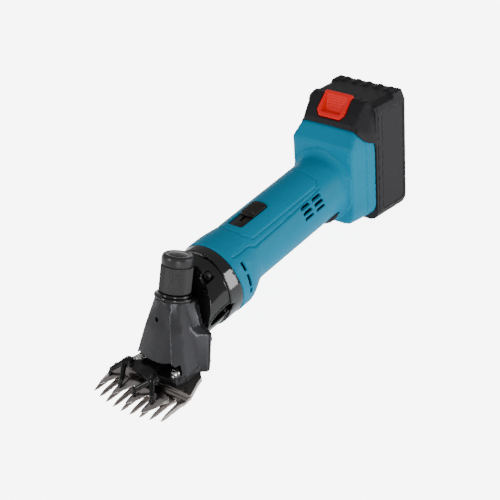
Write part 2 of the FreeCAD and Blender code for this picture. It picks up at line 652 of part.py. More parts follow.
def comb_tooth(x):
    """One slender tooth with a tapered nose."""
    tip = comb_tip_y(x)
    root = tip + 27.0
    outline = [(x - 2.9, root), (x - 2.3, tip + 15), (x - 1.5, tip + 5), (x - 0.55, tip + 0.6), (x, tip),
               (x + 0.55, tip + 0.6), (x + 1.5, tip + 5), (x + 2.3, tip + 15), (x + 2.9, root)]
    tooth = prism(outline, "z", -AXIS_HEIGHT, COMB_TOP)
    nose = prism([(tip - 1, -AXIS_HEIGHT + 1.0), (tip + 7, COMB_TOP), (tip + 7, COMB_TOP + 2),
                  (tip - 1, COMB_TOP + 2)], "x", x - 5, x + 5)
    belly = prism([(tip - 1, -AXIS_HEIGHT - 1), (tip - 1, -AXIS_HEIGHT + 0.9), (tip + 3.5, -AXIS_HEIGHT),
                   (tip + 3.5, -AXIS_HEIGHT - 1)], "x", x - 5, x + 5)
    return cut(tooth, [nose, belly])


def mirrored_outline(side):
    """Outline from its left-hand half: the right-hand half first, then the left one backwards."""
    return [(-x, y) for x, y in side] + side[::-1]


def make_comb():
    outer = TOOTH_PITCH * (COMB_TEETH - 1) / 2
    front = [(x, comb_tip_y(x) + 26.0) for x in (-outer, -outer / 2, 0, outer / 2, outer)]
    tail = [(24, -56), (30, -62), (34.6, -66), (35.6, -71)]
    plate_side = tail + [(42.0, -88), (41.1, comb_tip_y(outer) + 26)]
    plate = prism(mirrored_outline(plate_side)[:6] + front + plate_side[::-1], "z", -AXIS_HEIGHT, COMB_TOP)
    heel = prism(mirrored_outline(tail + [(41.4, -86.5), (39, -89.5)]), "z", COMB_TOP, HEEL_TOP)
    heel = heel.cut(prism([(-91, COMB_TOP), (-91, HEEL_TOP + 1), (-88.4, HEEL_TOP + 1), (-88.4, HEEL_TOP),
                           (-89.5, COMB_TOP)], "x", -60, 60))
    teeth = [comb_tooth(TOOTH_PITCH * (i - (COMB_TEETH - 1) / 2)) for i in range(COMB_TEETH)]
    scallops = []
    for i in range(COMB_TEETH - 1):
        x = TOOTH_PITCH * (i - (COMB_TEETH - 2) / 2)
        scallops.append(rod(1.9, 10, (x, comb_tip_y(x) + 26.4, -AXIS_HEIGHT - 2), Z_AXIS))
    comb = cut(fuse([plate, heel] + teeth), scallops)
    comb = cut(comb, both_sides(rod(2.5 + FIT, 12, (*COMB_SCREW, -60), Z_AXIS)))
    save("comb", [comb])
    x, y = COMB_SCREW
    washer = tube(4.6, 2.5, 0.9, (x, y, SCREW_SEAT), Z_AXIS)
    head = revolve_z([(0, 0), (4.1, 0), (4.1, 1.4), (3.5, 2.6), (2.2, 3.3), (0, 3.4)])
    head.translate(V(x, y, SCREW_SEAT + 0.9))
    shank = rod(2.5, SCREW_SEAT + 0.9 + AXIS_HEIGHT - 0.6, (x, y, -AXIS_HEIGHT + 0.6), Z_AXIS)
    slot = box((x - 5, y - 0.5, SCREW_SEAT + 3.1), (x + 5, y + 0.5, SCREW_SEAT + 6))
    save("comb_screws", both_sides(fuse([head, shank]).cut(slot)) + both_sides(washer))


def cutter_tooth(x):
    """Broad bevelled tooth, in fork coordinates with the fulcrum at the origin."""
    tip = -math.sqrt(CUTTER_REACH ** 2 - (0.35 * x) ** 2)
    outline = [(x - 8.4, tip + 20), (x - 5.4, tip + 12.5), (x - 2.7, tip + 4), (x - 1.1, tip + 0.3),
               (x + 1.1, tip + 0.3), (x + 2.7, tip + 4), (x + 5.4, tip + 12.5), (x + 8.4, tip + 20)]
    tooth = prism(outline, "z", CUTTER_LOW, CUTTER_HIGH)
    slope = prism([(tip - 1, CUTTER_LOW + 1.0), (tip + 15, CUTTER_HIGH), (tip + 15, CUTTER_HIGH + 2),
                   (tip - 1, CUTTER_HIGH + 2)], "x", x - 12, x + 12)
    return tooth.cut(slope)


def tooth_positions():
    return [2 * TOOTH_PITCH * (i - (CUTTER_TEETH - 1) / 2) for i in range(CUTTER_TEETH)]


def fork_pose(shape):
    """Fork coordinates to tool frame, swung to the right-hand end of the stroke."""
    return placed(shape, FreeCAD.Placement(V(0, PIVOT_Y, 0), FreeCAD.Rotation(V(0, 0, 1), -SWING)))


def make_cutter():
    outer = tooth_positions()[-1]
    plate = prism([(-outer + 6, -33.5), (outer - 6, -33.5), (outer + 7.6, -38.5), (outer + 8.4, -41),
                   (outer, -42), (-outer, -42), (-outer - 8.4, -41), (-outer - 7.6, -38.5)], "z",
                  CUTTER_LOW, CUTTER_HIGH)
    teeth = [cutter_tooth(x) for x in tooth_positions()]
    holes = [rod(1.3, 3.0, (x, y, CUTTER_HIGH - 2.0), Z_AXIS) for x, y in prong_tips()]
    width = box((-outer - 5.2, -90, -60), (outer + 5.2, -20, -30))
    save("cutter", [fork_pose(cut(fuse([plate] + teeth).common(width), holes))])


def prong_tips():
    return [(x, -math.sqrt(PRONG_REACH ** 2 - (0.7 * x) ** 2)) for x in tooth_positions()]


def strut(start, end, r_start, r_end):
    """Round tapered bar between two points, with ball ends."""
    a = V(*start)
    b = V(*end)
    way = b.sub(a)
    bar = Part.makeCone(r_start, r_end, way.Length, a, way)
    return fuse([bar, Part.makeSphere(r_start, a), Part.makeSphere(r_end, b)])


def make_fork():
    hub = rod(5.8, FORK_HIGH - FORK_LOW, (0, 0, FORK_LOW), Z_AXIS)
    front = prism([(-5.4, 0), (5.4, 0), (8.0, -8), (8.2, -24), *fork_wing(1), (0, -35.5), *fork_wing(-1),
                   (-8.2, -24), (-8.0, -8)], "z", FORK_LOW + 0.8, FORK_HIGH)
    tail_side = [(-3, FORK_HIGH), (-3, FORK_LOW + 1.4), (3.5, FORK_LOW + 1.4), (30, CRANK_Z - 7.5),
                 (35, CRANK_Z - 7.5), (35, CRANK_Z + 6.5), (29, CRANK_Z + 6.5), (27, CRANK_Z + 1.5),
                 (3, FORK_HIGH)]
    tail = prism(tail_side, "x", -4.2, 4.2)
    cup = box((-6.6, 29.2, CRANK_Z - 7.5), (6.6, 35.0, CRANK_Z + 6.5))
    slot = box((-3.7, 31.2, CRANK_Z - 12), (3.7, 40, CRANK_Z + 12))
    socket = rod(POST_R + RUN, 20, (0, 0, HEAD_FLOOR + 10.8 - 20), Z_AXIS)
    yoke = cut(fuse([hub, front, tail, cup]), [slot, socket])
    save("fork_yoke", [fork_pose(yoke)])
    tips = prong_tips()
    feet = (("fork_foot_right", -1, tips[:2]), ("fork_foot_left", 1, tips[2:]))
    for node, side, ends in feet:
        root = (side * 19.1, -36.0, FORK_HIGH + 1.4)
        lug = rod(4.2, 3.2, (side * 17.5, -33.2, FORK_HIGH), Z_AXIS)
        pieces = [lug, strut((side * 17.5, -33.2, FORK_HIGH + 1.9), root, 2.3, 2.4)]
        for x, y in ends:
            elbow = (x * 0.97, y + 2.2, CUTTER_HIGH + 4.2)
            pieces.append(strut(root, elbow, 2.4, 1.9))
            pieces.append(strut(elbow, (x, y, CUTTER_HIGH + 2.0), 1.9, 1.25))
            pieces.append(rod(1.2, 3.6, (x, y, CUTTER_HIGH - 1.6), Z_AXIS))
        foot = fuse(pieces).cut(fork_block())
        save(node, [fork_pose(foot)])


def fork_wing(side):
    """Outline of one end of the fork's cross bar, running outwards on the left, inwards on the right."""
    wing = [(21, -30.5), (23, -34.5), (18, -37)]
    if side < 0:
        wing = [(-x, y) for x, y in reversed(wing)]
    return wing


def fork_block():
    outline = [(8.2, -24), *fork_wing(1), (0, -35.5), *fork_wing(-1), (-8.2, -24)]
    return prism(outline, "z", FORK_LOW, FORK_HIGH)


# ---- switch and speed dial -------------------------------------------------------------------
def barrel_patch(inner, outer, half, start, end):
    """Piece of a barrel layer over the top, between two radii."""
    layer = tube(outer, inner, end - start, (0, start, 0))
    return layer.common(box((-half, start, 0), (half, end, 60)))


def make_switch():
    plate = barrel_patch(BARREL_R - WALL, BARREL_R - 1.2, SWITCH_HALF - FIT, SWITCH_FRONT + FIT,
                         SWITCH_REAR - FIT)
    slit = box((-2.3, SWITCH_FRONT + 8, 20), (2.3, SWITCH_REAR - 7, 40))
    save("switch_plate", [plate.cut(slit)])
    start = SWITCH_FRONT + SWITCH_TRAVEL + 1.8
    end = SWITCH_REAR - 0.5
    button = barrel_patch(BARREL_R - 0.9, BARREL_R + 1.5, SWITCH_HALF - 0.4, start, end)
    nose = prism([(-9, start - 1), (9, start - 1), (9, start + 2.2), (5, start + 0.7), (0, start),
                  (-5, start + 0.7), (-9, start + 2.2)], "z", 20, 40)
    grooves = [tube(BARREL_R + 3, BARREL_R + 0.8, 1.0, (0, start + 4.0 + 2.6 * k, 0)) for k in range(6)]
    stem = box((-2.0, start + 7, 24.3), (2.0, start + 13, BARREL_R))
    save("switch_slider", [fuse([cut(button, [nose] + grooves), stem])])
    bar = box((-3.0, start + 5, 22.3), (3.0, 118, 24.3))
    nub = box((-2.0, 112, 17.9), (2.0, 116, 22.3))
    save("switch_rod", [fuse([bar, nub])])
    body = box((-8, 96, 5), (8, 121, 19))
    track = box((-2.4, 98, 17.5), (2.4, 118, 20))
    tabs = [box((x - 0.4, 121, 8), (x + 0.4, 126, 13)) for x in (-5, 0, 5)]
    save("switch_body", [fuse([body.cut(track)] + tabs)])


def make_dial():
    wheel = ridged_disc(DIAL_R, 0.5, 30, -DIAL_T / 2, DIAL_T / 2)
    wheel.translate(V(dial_centre_r(), 0, 0))
    axle = rod(1.6, DIAL_T + 9, (dial_centre_r(), 0, -DIAL_T / 2 - 8), Z_AXIS)
    save("speed_dial", [placed(fuse([wheel, axle]), dial_frame())])
    pot = box((dial_centre_r() - 6, -6, -DIAL_T / 2 - 7.5), (dial_centre_r() + 6, 6, -DIAL_T / 2 - 1.5))
    bore = rod(1.6 + RUN, 40, (dial_centre_r(), 0, -30), Z_AXIS)
    save("speed_potentiometer", [placed(pot.cut(bore), dial_frame())])
    board = box((-19, 124, -13), (-17.4, 160, 13))
    parts = [box((-17.4, 128, -9), (-10, 136, -1)), rod(4.0, 9.0, (-17.4, 144, 6), X_AXIS),
             box((-17.4, 150, -10), (-12.5, 157, -2)), rod(3.0, 7.0, (-17.4, 153, 6), X_AXIS)]
    save("control_board", [fuse([board] + parts)])


# ---- battery ---------------------------------------------------------------------------------
def pack_outline(inset):
    """Front outline of the pack, corners cut."""
    half = PACK_HALF - inset
    low = PACK_BOTTOM + inset
    high = PACK_TOP - 5.0 - inset
    side = [(half - 7, low), (half, low + 6), (half, high - 5), (half - 3.0, high - 1.2), (half - 8, high)]
    return side + [(-x, z) for x, z in reversed(side)]


def make_battery_case():
    outer = prism(pack_outline(0), "y", COVER_T, PACK_DEPTH - PACK_EDGE)
    back = prism(pack_outline(3.0), "y", PACK_DEPTH - PACK_EDGE, PACK_DEPTH - 1.4)
    ribs = []
    for k in range(5):
        level = -42.5 + 20.2 * k
        wave = [(PACK_DEPTH - 1.6, level - 7.5), (PACK_DEPTH, level - 5.5), (PACK_DEPTH, level + 5.5),
                (PACK_DEPTH - 1.6, level + 7.5)]
        ribs.append(prism(wave, "x", -PACK_HALF + 4.5, PACK_HALF - 4.5))
    bumps = []
    for k in range(5):
        x = -24.4 + 12.2 * k
        bumps.append(box((x - 3.6, PACK_DEPTH - 12, PACK_TOP - 5.2),
                         (x + 3.6, PACK_DEPTH - 3.4, PACK_TOP - 3.4)))
    hollow = prism(pack_outline(2.4), "y", COVER_T - 1, PACK_DEPTH - 4.0)
    panel = both_sides(box((PACK_HALF - 0.7, 8, -46), (PACK_HALF + 1, 40, 46)).cut(
        box((PACK_HALF - 0.8, 9.6, -44.4), (PACK_HALF + 2, 38.4, 44.4))))
    shape = cut(fuse([outer, back] + ribs + bumps), [hollow] + panel)
    save("battery_case", [placed(shape, BATTERY)])


def head_side_profile():
    """Overhanging top of the battery cover, seen from the side."""
    return [(COVER_T, 15.0), (COVER_T, PACK_TOP - 5.0), (1.5, PACK_TOP - 1.0), (-2.0, PACK_TOP),
            (-4.5, PACK_TOP - 1.2), (-15.5, 48.0), (-20.6, 41.0), (-20.6, 37.6), (-9.6, 37.6), (-9.6, 15.0)]


def pack_top_plan():
    """Cover seen from above: full width at the pack, corners cut to the front."""
    half = [(PACK_HALF, COVER_T), (PACK_HALF, -1.0), (34.5, -8.0), (30.5, -21.0)]
    return half + [(-x, y) for x, y in reversed(half)]


def make_battery_cover():
    plate = prism(pack_outline(0), "y", 0, COVER_T)
    half = [(PACK_HALF - 1.0, 15), (PACK_HALF - 1.0, 51), (PACK_HALF - 4, 57),
            (PACK_HALF - 9, PACK_TOP - 0.4)]
    tall = prism(half + [(0, PACK_TOP + 0.1)] + [(-x, z) for x, z in reversed(half)], "y", -30, COVER_T)
    side = prism(head_side_profile(), "x", -60, 60)
    plan = prism(pack_top_plan(), "z", 0, 80)
    hood = tall.common(side).common(plan)
    block_room = block_outline(BLOCK_HALF_REAR, BLOCK_BOTTOM, CROWN_Z, SHOULDER_Z, -SLIDE_GAP)
    under = prism(block_room, "y", -40, -9.4)
    cheek = [(-10.2, 10), (-10.2, SHOULDER_Z + 12.6), (0.0, SHOULDER_Z + 1.2), (0.0, 10)]
    hood = cut(hood, [under, box((-26.6, -12, 5), (26.6, 0, 33.4))])
    hood = cut(hood, both_sides(prism(cheek, "x", 26.5, 60)))
    tongue = box((-TONGUE_HALF, -TONGUE_DEPTH, TONGUE_LOW), (TONGUE_HALF, 0.1, 33.5))
    grooves = both_sides(box((TONGUE_HALF - 3.2, -6.6, TONGUE_LOW - 1), (TONGUE_HALF + 1, -3.0, 25)))
    slots = [box((x - 1.2, -TONGUE_DEPTH - 1, PACK_BOTTOM), (x + 1.2, -2.5, TONGUE_LOW + 22))
             for x in TERMINAL_X]
    foot = box((-FOOT_HALF, -FOOT_DEPTH, PACK_BOTTOM + 0.4), (FOOT_HALF, 0.1, PACK_BOTTOM + 3.6))
    pocket = placed(prism(button_outline(0.4), "y", -6, 8.8), button_frame())
    cavity = box((-14, 0.9, -40), (14, 6, 30))
    shape = fuse([plate, tongue, hood, foot])
    shape = cut(shape, grooves + slots + [pocket.common(box((-20, -40, 30), (20, 2.9, 90)))])
    shape = cut(shape, [cavity])
    save("battery_cover", [placed(shape, BATTERY)])


def button_frame():
    """Local frame on the sloped face: X across, Z up the slope, -Y out of the face."""
    return FreeCAD.Placement(V(0, -14.0, 48.5), FreeCAD.Rotation(V(1, 0, 0), -45))


def button_outline(grow):
    """Button face: straight top, sides drawn in towards the bottom edge."""
    half = [(11.4 + grow, -6.6 - grow), (15.4 + grow, -2.0), (15.4 + grow, 1.0), (15.2 + grow, 17.0),
            (14.2 + grow, 18.4 + grow)]
    return half + [(-x, z) for x, z in reversed(half)]


def make_release_button():
    body = prism(button_outline(0), "y", -1.4, 5.2)
    body = body.common(prism([(-2, -7), (5.2, -7), (5.2, 6), (1.6, 18.6), (-2, 18.6)], "x", -20, 20))
    scoop = prism([(-1.5, -4.2), (3.2, 0.6), (-0.2, 15.6), (-1.5, 15.8)], "x", -11.2, 11.2)
    ribs = [box((-10.4, 3.2 - 0.48 * k, 1.6 + 2.4 * k), (10.4, 3.6, 2.6 + 2.4 * k)) for k in range(5)]
    button = cut(body, [scoop])
    button = fuse([button] + [rib.common(body) for rib in ribs])
    save("release_button", [placed(placed(button, button_frame()), BATTERY)])


def make_battery():
    make_battery_case()
    make_battery_cover()
    make_release_button()
    cells = []
    for row in range(2):
        for k in range(5):
            y = 12.6 + 18.6 * row
            z = -41.4 + 19.6 * k
            cells.append(placed(rod(CELL_R, CELL_LENGTH, (-CELL_LENGTH / 2, y, z), X_AXIS), BATTERY))
    save("battery_cells", cells)


def make_terminals():
    bed = box((-17.8, -14.6, -46.0), (17.8, -11.2, -20))
    posts = [box((x - 3.0, -18.0, -34.0), (x + 3.0, -14.6, -24.0)) for x in TERMINAL_X]
    save("tool_terminal_block", [placed(fuse([bed] + posts), BATTERY)])
    blades = [placed(box((x - 0.6, -11.2, -44.6), (x + 0.6, -3.4, -26)), BATTERY) for x in TERMINAL_X]
    save("tool_terminals", blades)
    rail = box((TONGUE_HALF - 2.8, -6.3, -35), (30.8, -3.3, 18.5))
    flange = box((26.6, -12, -35), (30.8, -3.3, 18.5))
    save("battery_rails", [placed(shape, BATTERY) for shape in both_sides(fuse([rail, flange]))])


# ---- everything ------------------------------------------------------------------------------
os.makedirs("parts", exist_ok=True)
make_housing()
make_gear_case()
make_gears()
make_bearing_plate()
make_motor()
make_head()
make_tension()
make_comb()
make_cutter()
make_fork()
make_switch()
make_dial()
make_battery()
make_terminals()
print("swing each way", round(SWING, 3), "crank throw", round(CRANK_THROW, 3), "crank z", CRANK_Z)
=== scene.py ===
import bpy
import json
import math
import numpy as np
import openvdb
from mathutils import Matrix, Vector


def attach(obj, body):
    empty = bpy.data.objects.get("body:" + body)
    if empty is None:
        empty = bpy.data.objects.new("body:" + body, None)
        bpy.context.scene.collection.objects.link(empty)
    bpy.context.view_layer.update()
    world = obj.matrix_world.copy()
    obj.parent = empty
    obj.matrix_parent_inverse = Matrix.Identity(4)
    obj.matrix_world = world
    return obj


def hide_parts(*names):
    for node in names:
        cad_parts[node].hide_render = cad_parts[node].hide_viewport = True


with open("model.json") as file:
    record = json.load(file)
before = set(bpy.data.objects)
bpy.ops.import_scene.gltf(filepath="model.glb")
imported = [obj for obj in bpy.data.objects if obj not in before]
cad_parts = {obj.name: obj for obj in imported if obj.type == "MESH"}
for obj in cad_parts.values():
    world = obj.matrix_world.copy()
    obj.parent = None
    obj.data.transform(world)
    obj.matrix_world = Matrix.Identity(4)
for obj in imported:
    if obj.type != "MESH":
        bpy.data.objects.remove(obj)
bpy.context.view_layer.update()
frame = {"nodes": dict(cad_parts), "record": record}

# Shapes are written in the tool frame, in millimetres: the barrel axis is Y, +Y runs back to the
# battery, +X is the tool's left, +Z is up, and the origin is on the axis at the housing's front ring.
MIDDLE_Y = 56.45
AXIS_HEIGHT = 52.7
LEAN_BATTERY = math.radians(9.0)  # battery and block
LEAN_HEAD = math.radians(24.5)    # tension axis of the head
BATTERY_ORIGIN = (186.5, 10.5)    # (y, z)
COLLAR_CENTRE = (-45.4, 7.4)      # (y, z)
WALL = 2.4
FAR_AWAY = 99.0


# ---- signed distance helpers -------------------------------------------------------------------
def rmax(a, b, r):
    """Intersection with a round edge of radius r."""
    return np.minimum(-r, np.maximum(a, b)) + np.hypot(np.maximum(r + a, 0), np.maximum(r + b, 0))


def rmin(a, b, r):
    """Union with a round inner corner of radius r."""
    return np.maximum(r, np.minimum(a, b)) - np.hypot(np.maximum(r - a, 0), np.maximum(r - b, 0))


def rsub(a, b, r):
    """What is left of a without b, with a round edge of radius r."""
    return rmax(a, -b, r)


def unite(*parts):
    """Union with sharp inner corners."""
    whole = parts[0]
    for part in parts[1:]:
        whole = np.minimum(whole, part)
    return whole


def squared_to_run(wx, wy, ex, ey):
    """Squared distance from the offset (wx, wy) to the straight run from zero to (ex, ey)."""
    t = np.clip((wx * ex + wy * ey) / (ex * ex + ey * ey), 0, 1)
    return (wx - ex * t) ** 2 + (wy - ey * t) ** 2


def poly(u, v, points):
    """Distance to a closed outline, negative inside."""
    best = np.full(u.shape, 1e9, u.dtype)
    sign = np.ones(u.shape, u.dtype)
    for (ax, ay), (bx, by) in zip(points, points[-1:] + points[:-1]):
        ex, ey = bx - ax, by - ay
        wx, wy = u - ax, v - ay
        best = np.minimum(best, squared_to_run(wx, wy, ex, ey))
        above, below = v >= ay, v < by
        left = ex * wy > ey * wx
        flip = (above & below & left) | (~above & ~below & ~left)
        sign = np.where(flip, -sign, sign)
    return sign * np.sqrt(best)


def path_distance(u, v, points):
    """Distance to an open line of points."""
    best = np.full(u.shape, 1e9, u.dtype)
    for (ax, ay), (bx, by) in zip(points[:-1], points[1:]):
        ex, ey = bx - ax, by - ay
        wx, wy = u - ax, v - ay
        best = np.minimum(best, squared_to_run(wx, wy, ex, ey))
    return np.sqrt(best)


def box3(x, y, z, low, high, r=0.0):
    """Box with edges rounded by r."""
    q = []
    for value, a, b in zip((x, y, z), low, high):
        q.append(np.abs(value - (a + b) / 2) - (b - a) / 2 + r)
    outside = np.sqrt(sum(np.maximum(c, 0) ** 2 for c in q))
    return outside + np.minimum(np.maximum(np.maximum(q[0], q[1]), q[2]), 0) - r


def box2(u, v, low, high, r=0.0):
    """Rectangle with corners rounded by r."""
    a = np.abs(u - (low[0] + high[0]) / 2) - (high[0] - low[0]) / 2 + r
    b = np.abs(v - (low[1] + high[1]) / 2) - (high[1] - low[1]) / 2 + r
    return np.hypot(np.maximum(a, 0), np.maximum(b, 0)) + np.minimum(np.maximum(a, b), 0) - r


def capsule(x, y, z, a, b, ra, rb):
    """Round bar from a to b, of radius ra at a and rb at b."""
    a = np.array(a, np.float32)
    b = np.array(b, np.float32)
    e = b - a
    t = np.clip(((x - a[0]) * e[0] + (y - a[1]) * e[1] + (z - a[2]) * e[2]) / float(e @ e), 0, 1)
    d = np.sqrt((x - a[0] - e[0] * t) ** 2 + (y - a[1] - e[1] * t) ** 2 + (z - a[2] - e[2] * t) ** 2)
    return d - (ra + (rb - ra) * t)


def groove(d, width, depth):
    """Amount to add to a distance for a round groove of that half width."""
    return depth * np.exp(-(d / width) ** 2)


def step_up(d, width):
    """0 to 1 as d goes from -width to width."""
    t = np.clip((d + width) / (2 * width), 0, 1)
    return t * t * (3 - 2 * t)


def read_off(value, places, results):
    """The result at each value, along straight runs between those places."""
    return np.interp(value, places, results).astype(np.float32)


def leaned(y, z, origin, lean):
    """Position in axes that start at the origin and lean back by that angle."""
    s, c = math.sin(lean), math.cos(lean)
    v, w = y - origin[0], z - origin[1]
    return c * v - s * w, s * v + c * w


def in_battery(x, y, z):
    """Position in the battery's leaning axes."""
    v, w = leaned(y, z, BATTERY_ORIGIN, LEAN_BATTERY)
    return x, v, w


def in_head(x, y, z):
    """Position in the head's leaning axes, with the tension axis upright."""
    v, w = leaned(y, z, COLLAR_CENTRE, LEAN_HEAD)
    return x, v, w


def mirror(points):
    """The half of an outline where the first number is positive, and its mirror image."""
    return points + [(-a, b) for a, b in reversed(points)]


# ---- from distance to mesh ---------------------------------------------------------------------
BLOCK = 8             # samples along the side of a block
BLOCKS_AT_ONCE = 400  # worked out together, to use little memory
HALF_DIAGONAL = 0.87  # of a block, for a side of 1
SPARE = 1.25          # margin for fields that aren't true distances
FAR_STEPS = 3.0       # distances are cut off this many steps from the surface
ROUNDS = 3            # times that the points are moved onto the surface
LONGEST_MOVE = 0.6    # of a step, in one round
SLOPE_REACH = 0.02    # millimetres to each side of a point, for the slope there
LEAST_SLOPE = 0.5     # flatter places count as this steep
TINY = 1e-9           # keeps a division from being by zero


def all_points(*axes):
    """The x, y and z of every grid point on those axes."""
    return [g.ravel().astype(np.float32) for g in np.meshgrid(*axes, indexing="ij")]


def sampled(field, low, high, step):
    """The field on a grid, worked out finely only near the surface."""
    low = np.array(low, np.float64)
    counts = [int(math.ceil((b - a) / step / BLOCK)) for a, b in zip(low, high)]
    far = FAR_STEPS * step
    centres = [low[i] + step * (np.arange(counts[i]) * BLOCK + (BLOCK - 1) / 2) for i in range(3)]
    cx, cy, cz = all_points(*centres)
    middle = field(cx, cy, cz)
    reach = BLOCK * step * HALF_DIAGONAL * SPARE + far
    near = np.abs(middle) < reach
    blocks = np.empty((len(middle), BLOCK, BLOCK, BLOCK), np.float32)
    blocks[:] = np.where(middle < 0, -far, far)[:, None, None, None]
    offsets = (np.arange(BLOCK) - (BLOCK - 1) / 2) * step
    ox, oy, oz = all_points(offsets, offsets, offsets)
    which = np.nonzero(near)[0]
    for start in range(0, len(which), BLOCKS_AT_ONCE):
        part = which[start:start + BLOCKS_AT_ONCE]
        x = (cx[part][:, None] + ox).ravel()
        y = (cy[part][:, None] + oy).ravel()
        z = (cz[part][:, None] + oz).ravel()
        value = np.clip(field(x, y, z), -far, far)
        blocks[part] = value.reshape(-1, BLOCK, BLOCK, BLOCK)
    grid = blocks.reshape(*counts, BLOCK, BLOCK, BLOCK).transpose(0, 3, 1, 4, 2, 5)
    return np.ascontiguousarray(grid.reshape([n * BLOCK for n in counts])), far


def slope_of(field, p, h):
    """Gradient of the field at the points p, from h to each side."""
    g = np.empty_like(p)
    for i in range(3):
        shift = np.zeros(3, np.float32)
        shift[i] = h
        a, b = p + shift, p - shift
        g[:, i] = (field(a[:, 0], a[:, 1], a[:, 2]) - field(b[:, 0], b[:, 1], b[:, 2])) / (2 * h)
    return g


def to_row(p):
    """Points of the tool frame, in mm, as points of the object's frame, in m."""
    q = np.array(p, np.float64)
    q[:, 1] -= MIDDLE_Y
    q[:, 2] += AXIS_HEIGHT
    return q / 1000.0


def moulded(name, field, low, high, step, body, nodes, slot, finish=None, flat=0.25, blur=0.12):
    """A piece whose surface is where the field is zero. Its normals are the field's slope, over blur."""
    grid, far = sampled(field, low, high, step)
    volume = openvdb.FloatGrid(far)
    volume.copyFromArray(grid)
    points, triangles, quads = volume.convertToPolygons(isovalue=0.0, adaptivity=flat)
    p = (points * step + np.array(low)).astype(np.float32)
    for _ in range(ROUNDS):
        g = slope_of(field, p, SLOPE_REACH)
        size = np.maximum((g * g).sum(1), LEAST_SLOPE ** 2)
        move = -(field(p[:, 0], p[:, 1], p[:, 2]) / size)[:, None] * g
        length = np.linalg.norm(move, axis=1, keepdims=True)
        p = p + move * np.minimum(1.0, LONGEST_MOVE * step / np.maximum(length, TINY))
    normals = slope_of(field, p, blur)
    normals /= np.maximum(np.linalg.norm(normals, axis=1, keepdims=True), TINY)
    faces = [tuple(f) for f in triangles.tolist()] + [tuple(f) for f in quads.tolist()]
    first = faces[0]
    across = np.cross(p[first[1]] - p[first[0]], p[first[2]] - p[first[0]])
    if float(across @ normals[first[0]]) < 0:
        faces = [f[::-1] for f in faces]
    mesh = bpy.data.meshes.new(name)
    mesh.from_pydata(to_row(p).tolist(), [], faces)
    mesh.validate()
    mesh.polygons.foreach_set("use_smooth", [True] * len(mesh.polygons))
    if len(mesh.vertices) == len(normals):
        mesh.normals_split_custom_set_from_vertices(normals.tolist())
    finish_piece(name, mesh, body, nodes, slot, finish)


def finish_piece(name, mesh, body, nodes, slot, finish):
    """Put the mesh in the scene, on its body and in place of its nodes. The slot gives the usual finish."""
    piece = bpy.data.objects.new(name, mesh)
    bpy.context.scene.collection.objects.link(piece)
    mesh.materials.append(FINISH[finish or slot])
    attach(piece, body)
    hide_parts(*nodes)


# ---- materials ---------------------------------------------------------------------------------
GRAIN_HEIGHT = 0.0002
TINT_DETAIL = 4.0
GRAIN_DETAIL = 3.0


def noise(nodes, links, mapping, scale, detail):
    """Noise that lies still on the piece."""
    texture = nodes.new("ShaderNodeTexNoise")
    texture.inputs["Scale"].default_value = scale
    texture.inputs["Detail"].default_value = detail
    links.new(mapping.outputs["Vector"], texture.inputs["Vector"])
    return texture


def surface(name, colour, rough, metallic=0.0, tint=0.1, tint_scale=45.0, grain_scale=2600.0,
            grain=0.0, rough_change=0.08, stretch=(1, 1, 1), shine=0.5, spread=0.02):
    """Procedural finish: drifting tint, uneven gloss and fine surface grain."""
    material = bpy.data.materials.new(name)
    material.use_nodes = True
    nodes, links = material.node_tree.nodes, material.node_tree.links
    shader = nodes["Principled BSDF"]
    shader.inputs["Metallic"].default_value = metallic
    shader.inputs["Specular IOR Level"].default_value = shine
    place = nodes.new("ShaderNodeTexCoord")
    mapping = nodes.new("ShaderNodeMapping")
    mapping.inputs["Scale"].default_value = stretch
    links.new(place.outputs["Object"], mapping.inputs["Vector"])
    drift = noise(nodes, links, mapping, tint_scale, TINT_DETAIL)
    mix = nodes.new("ShaderNodeMix")
    mix.data_type = "RGBA"
    mix.inputs["A"].default_value = [c * (1 - tint) for c in colour] + [1.0]
    mix.inputs["B"].default_value = [min(c * (1 + tint) + spread * tint, 1.0) for c in colour] + [1.0]
    links.new(drift.outputs["Fac"], mix.inputs["Factor"])
    links.new(mix.outputs["Result"], shader.inputs["Base Color"])
    gloss = nodes.new("ShaderNodeMapRange")
    gloss.inputs["To Min"].default_value = max(rough - rough_change, 0.02)
    gloss.inputs["To Max"].default_value = min(rough + rough_change, 1.0)
    links.new(drift.outputs["Fac"], gloss.inputs["Value"])
    links.new(gloss.outputs["Result"], shader.inputs["Roughness"])
    if grain:
        fine = noise(nodes, links, mapping, grain_scale, GRAIN_DETAIL)
        bump = nodes.new("ShaderNodeBump")
        bump.inputs["Strength"].default_value = grain
        bump.inputs["Distance"].default_value = GRAIN_HEIGHT
        links.new(fine.outputs["Fac"], bump.inputs["Height"])
        links.new(bump.outputs["Normal"], shader.inputs["Normal"])
    return material


